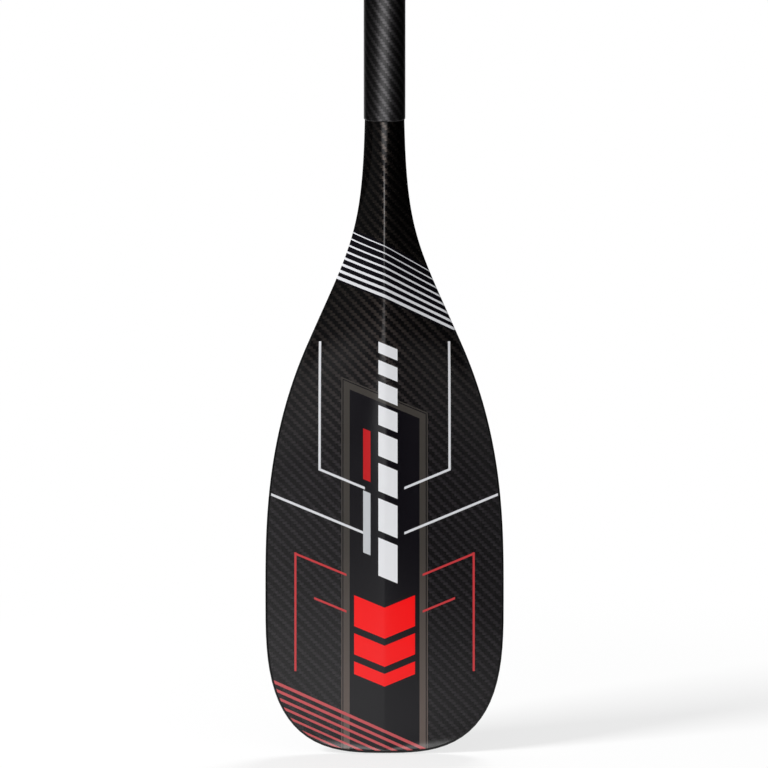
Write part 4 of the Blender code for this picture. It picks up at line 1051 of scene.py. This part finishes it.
# The draw bolt and the barrel pin: turned stainless. The bolt screws into the pin, which is the lever's pivot,
# and pulls the ears together.
PIN_DIAMETER = 0.008
PIN_SHORT = 0.0005
CAM_WALL = 0.0032
LEVER_HEIGHT = 0.024
WASHER_THICKNESS = 0.0015
WASHER_DIAMETER = 0.012
NUT_LENGTH = 0.008
THREAD_PITCH = 0.0008
THREAD_DEPTH = 0.00035
THREAD_CREST = 0.2
THREAD_ROOT = 0.6
BOLT_CHAMFER = 0.0006
NUT_TURNS = 3
PIN_RADIUS = PIN_DIAMETER / 2
CAM_RADIUS = PIN_RADIUS + GAP + CAM_WALL
PIN_X = -(SADDLE_FACE + GAP + CAM_RADIUS)
PIN_PLACE = Matrix.Translation((PIN_X, BOLT_OUT, CLAMP_Z))
WASHER_FACE = EAR_FACE + GAP + WASHER_THICKNESS
NUT_FACE = WASHER_FACE + GAP + NUT_LENGTH

# Stainless steel, the bolt's with a rolled thread: bright rings of crest and shadow, and a plain bright pin.
bolt_finish = turned_steel("rolled_thread_stainless", "c4c3c1", "a3a2a0")
pin_finish = turned_steel("turned_stainless_pin", "cbcac8", "b0afad")

start = PIN_X - PIN_RADIUS + 2 * GAP
end = NUT_FACE + NUT_TURNS * THREAD_PITCH + GAP
profile = [(0.0, start), (BOLT_RADIUS - BOLT_CHAMFER, start), (BOLT_RADIUS, start + BOLT_CHAMFER)]
crest = EAR_FACE
while crest < end - THREAD_PITCH:
    profile += [(BOLT_RADIUS, crest), (BOLT_RADIUS, crest + THREAD_CREST * THREAD_PITCH)]
    profile += [(BOLT_RADIUS - THREAD_DEPTH, crest + THREAD_ROOT * THREAD_PITCH)]
    crest += THREAD_PITCH
profile += [(BOLT_RADIUS, end - BOLT_CHAMFER), (BOLT_RADIUS - BOLT_CHAMFER, end), (0.0, end)]
bolt = turned(profile, ring=False, steps=48, place=BOLT_PLACE @ TO_X_AXIS)
new_piece("clamp_bolt", bolt, bolt_finish, "bolt", "bolt_steel", "draw_bolt")

half = LEVER_HEIGHT / 2 - PIN_SHORT
profile = [(0.0, half), (PIN_RADIUS, half), (PIN_RADIUS, -half), (0.0, -half)]
barrel = worked(
    turned(profile, ring=False, steps=64, place=PIN_PLACE),
    ("DIFFERENCE", rod(BOLT_RADIUS + GAP, 0.0, 2 * PIN_DIAMETER, PIN_PLACE)),
)
soften(new_piece("cross_pin", barrel, pin_finish, "bolt", "bolt_steel", "barrel_pin"), 0.0005)

# The cam lever: forged aluminium, anodised black. Its cam is off centre, so closing it pulls the bolt by about a
# millimetre, and its arm wraps round to the collar's front.
CAM_FALL = 0.0005
CAM_BACK = math.radians(60.0)
CAM_OVERRUN = math.radians(10.0)
LEVER_SWING = math.radians(150.0)
LEVER_THICKNESS = 0.0035
LEVER_CLEARANCE = 0.003
LEVER_HEEL_ANGLE = math.radians(155.0)
LEVER_START_ANGLE = math.radians(180.0)
LEVER_END_ANGLE = math.radians(252.0)
LEVER_FLARE_ANGLE = math.radians(12.0)
LEVER_FLARE = 0.004
SLOT_CLEARANCE = 0.0007
CAM_STEPS = 32
ARM_STEPS = 24
FLARE_STEPS = 4
CORNER_STEPS = 8

# Forged and anodised black: smoother than the collar, so it shines a little more.
lever_finish = blasted("black_anodised_forged_aluminium", 0.36, "36363b", "65656b")


def on_circle(radius, angle):
    """The point of a circle about the origin at an angle from X."""
    return Vector((radius * math.cos(angle), radius * math.sin(angle)))


def extruded(rim, low, high, place):
    """A bmesh prism along a place's Z from a rim of (x, y) points."""
    shape = bmesh.new()
    base = shape.faces.new([shape.verts.new((x, y, low)) for x, y in rim])
    raised = bmesh.ops.extrude_face_region(shape, geom=[base])
    moved = [part for part in raised["geom"] if isinstance(part, bmesh.types.BMVert)]
    bmesh.ops.translate(shape, verts=moved, vec=(0, 0, high - low))
    bmesh.ops.recalc_face_normals(shape, faces=shape.faces)
    bmesh.ops.transform(shape, matrix=place, verts=shape.verts)
    return shape


pivot = Vector((PIN_X, BOLT_OUT))
rim = [on_circle(CAM_RADIUS, -CAM_BACK * (1 - i / CORNER_STEPS)) for i in range(CORNER_STEPS)]
for i in range(CAM_STEPS + 1):
    angle = (LEVER_SWING + CAM_OVERRUN) * i / CAM_STEPS
    rim.append(on_circle(CAM_RADIUS - CAM_FALL * angle, angle) + on_circle(CAM_FALL, angle - math.pi / 2))
inner = COLLAR_RADIUS + LEVER_CLEARANCE
outer = inner + LEVER_THICKNESS
arm = [(LEVER_START_ANGLE + (LEVER_END_ANGLE - LEVER_START_ANGLE) * i / ARM_STEPS, 0.0) for i in range(ARM_STEPS + 1)]
for i in range(1, FLARE_STEPS + 1):
    arm.append((LEVER_END_ANGLE + LEVER_FLARE_ANGLE * i / FLARE_STEPS, LEVER_FLARE * (i / FLARE_STEPS) ** 2))
rim += [on_circle(outer + lift, a) - pivot for a, lift in arm]
rim += [on_circle(inner + lift, a) - pivot for a, lift in reversed(arm)]
rim.append(on_circle(inner, LEVER_HEEL_ANGLE) - pivot)
half = BOLT_RADIUS + SLOT_CLEARANCE
far = 2 * CAM_RADIUS
turn = LEVER_SWING + math.pi / 2
slot = [on_circle(half, -math.pi / 2), on_circle(half, -math.pi / 2) + on_circle(far, 0.0)]
slot += [on_circle(far, LEVER_SWING * i / CORNER_STEPS) for i in range(1, CORNER_STEPS)]
slot += [on_circle(half, turn) + on_circle(far, LEVER_SWING), on_circle(half, turn)]
lever = worked(
    extruded(rim, -LEVER_HEIGHT / 2, LEVER_HEIGHT / 2, PIN_PLACE),
    ("DIFFERENCE", rod(PIN_RADIUS + GAP, -LEVER_HEIGHT, LEVER_HEIGHT, PIN_PLACE @ TO_X_AXIS)),
    ("DIFFERENCE", extruded(slot, -half, half, PIN_PLACE)),
)
soften(new_piece("cam_lever", lever, lever_finish, "lever", "lever_alloy", "clamp_lever"), 0.0005, segments=3)

# The washer and the tension nut: a stainless washer, and a knurled aluminium nut, anodised red, that sets how
# hard the lever closes.
NUT_DIAMETER = 0.013
NUT_RIDGES = 16
NUT_KNURL_DEPTH = 0.0004
NUT_KNURL = (0.0, 0.5, 1.0, 0.5)

# Stamped stainless steel, as bright as the bolt. Red dye in the nut's anodised skin: a clear metallic red, paler
# where the knurl's ridges are rubbed.
washer_finish = turned_steel("stamped_stainless_steel", "c6c5c3", "a8a7a5")
nut_finish = blasted("red_anodised_aluminium", 0.3, "b01520", "d8505a")

profile = [(BOLT_HOLE, EAR_FACE + GAP), (BOLT_HOLE, WASHER_FACE), (WASHER_DIAMETER / 2, WASHER_FACE)]
profile += [(WASHER_DIAMETER / 2, EAR_FACE + GAP)]
washer = turned(profile, steps=64, place=BOLT_PLACE @ TO_X_AXIS)
soften(new_piece("bolt_washer", washer, washer_finish, "washer", "washer_steel", "nut_washer"), 0.0002)

knurl = []
for i in range(len(NUT_KNURL) * NUT_RIDGES):
    radius = NUT_DIAMETER / 2 - NUT_KNURL_DEPTH * NUT_KNURL[i % len(NUT_KNURL)]
    knurl.append(on_circle(radius, math.tau * i / (len(NUT_KNURL) * NUT_RIDGES)))
nut = worked(
    extruded(knurl, WASHER_FACE + GAP, NUT_FACE, BOLT_PLACE @ TO_X_AXIS),
    ("DIFFERENCE", rod(BOLT_RADIUS + GAP, 0.0, 2 * NUT_FACE, BOLT_PLACE)),
)
soften(new_piece("knurled_nut", nut, nut_finish, "nut", "nut_alloy", "tension_nut"), 0.0002)

# The grip's tenon: a round spigot of nylon, moulded with the grip's core and glued into the upper tube, which
# hides it.

# Moulded nylon: black and plain, a little duller than the end plug.
dress("grip_tenon", grained("moulded_nylon_spigot", 0.55, "19191b", "262628", grain=0.0008, depth=0.00004))

# The palm grip: a T-shaped grip of moulded plastic with a fine soft-touch grain, which the upper hand sits on. It
# is glued on its tenon.
GRIP_HEIGHT = 0.112
GRIP_WIDTH = 0.106
GRIP_DEPTH = 0.031
GRIP_STEM = 0.020
GRIP_WIDEST = 0.090
GRIP_STEM_REACH = 0.045
GRIP_SHOULDER_REACH = 0.016
GRIP_WAIST = (0.025, 0.001)
GRIP_BELLY = (0.035, 0.001)
GRIP_CROWN_SQUARENESS = 0.55
GRIP_TENON_ABOVE = 0.035
GRIP_BOTTOM = UPPER_TOP + GAP
GRIP_STEPS = 96
GRIP_SIDE_ROWS = 36
GRIP_CROWN_ROWS = 30

# Soft-touch plastic: near black, matt, with a pebbled grain that breaks up the light.
grip_finish = grained("moulded_soft_touch_grip", 0.5, "151517", "222225", grain=0.0006, depth=0.00015)

grip_span = drawn_curve(
    (
        (GRIP_STEM, UPPER_RADIUS),
        (GRIP_STEM + GRIP_STEM_REACH, UPPER_RADIUS),
        (GRIP_WIDEST - GRIP_SHOULDER_REACH, GRIP_WIDTH / 2),
        (GRIP_WIDEST, GRIP_WIDTH / 2),
    ),
)
grip_thickness = drawn_curve(
    (
        (GRIP_STEM, UPPER_RADIUS),
        (GRIP_STEM + GRIP_WAIST[0], UPPER_RADIUS - GRIP_WAIST[1]),
        (GRIP_WIDEST - GRIP_BELLY[0], GRIP_DEPTH / 2 - GRIP_BELLY[1]),
        (GRIP_WIDEST, GRIP_DEPTH / 2),
    ),
)
socket = GRIP_TENON_ABOVE + GAP
levels = [(socket, 0.0, 0.0), (socket, UPPER_BORE, UPPER_BORE), (0.0, UPPER_BORE, UPPER_BORE)]
levels += [(0.0, UPPER_RADIUS, UPPER_RADIUS)]
levels += [(z, grip_span(z), grip_thickness(z)) for z in np.linspace(GRIP_STEM, GRIP_WIDEST, GRIP_SIDE_ROWS).tolist()]
for i in range(1, GRIP_CROWN_ROWS + 1):
    turn = math.radians(90.0 * i / GRIP_CROWN_ROWS)
    slim = math.cos(turn)
    across = GRIP_WIDTH / 2 * slim**GRIP_CROWN_SQUARENESS
    levels.append((GRIP_WIDEST + (GRIP_HEIGHT - GRIP_WIDEST) * math.sin(turn), across, GRIP_DEPTH / 2 * slim))
shape = bmesh.new()
bmesh.ops.create_grid(shape, x_segments=GRIP_STEPS, y_segments=len(levels) - 1, size=1.0)
for vert in shape.verts:
    column, row = grid_place(vert, GRIP_STEPS, len(levels) - 1)
    turn = math.tau * column / GRIP_STEPS
    z, across, deep = levels[row]
    vert.co = (across * math.cos(turn), deep * math.sin(turn), GRIP_BOTTOM + z)
bmesh.ops.remove_doubles(shape, verts=shape.verts, dist=1e-5)
bmesh.ops.recalc_face_normals(shape, faces=shape.faces)
new_piece("hand_grip", shape, grip_finish, "upper", "grip_shell", "palm_grip")

# The joint's sleeve: a length of adhesive-lined tube, shrunk with heat over the seam between the upper tube and the
# grip, where it keeps water out.
SLEEVE_WALL = 0.0005
SLEEVE_BELOW = 0.020
SLEEVE_ABOVE = 0.014

# Shrunk polyolefin: the darkest of the plastics, with a slight ripple in its sheen.
sleeve_finish = grained("heat_shrunk_polyolefin", 0.55, "0e0e0f", "18181a", grain=0.002, depth=0.00005)

bore = UPPER_RADIUS + GAP
low = UPPER_TOP - SLEEVE_BELOW
high = GRIP_BOTTOM + SLEEVE_ABOVE
profile = [(bore, low), (bore, high), (bore + SLEEVE_WALL, high), (bore + SLEEVE_WALL, low)]
sleeve = turned(profile)
soften(new_piece("joint_sleeve", sleeve, sleeve_finish, "upper", "shrink_sleeve", "grip_joint_sleeve"), 0.0002)

low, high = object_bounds()
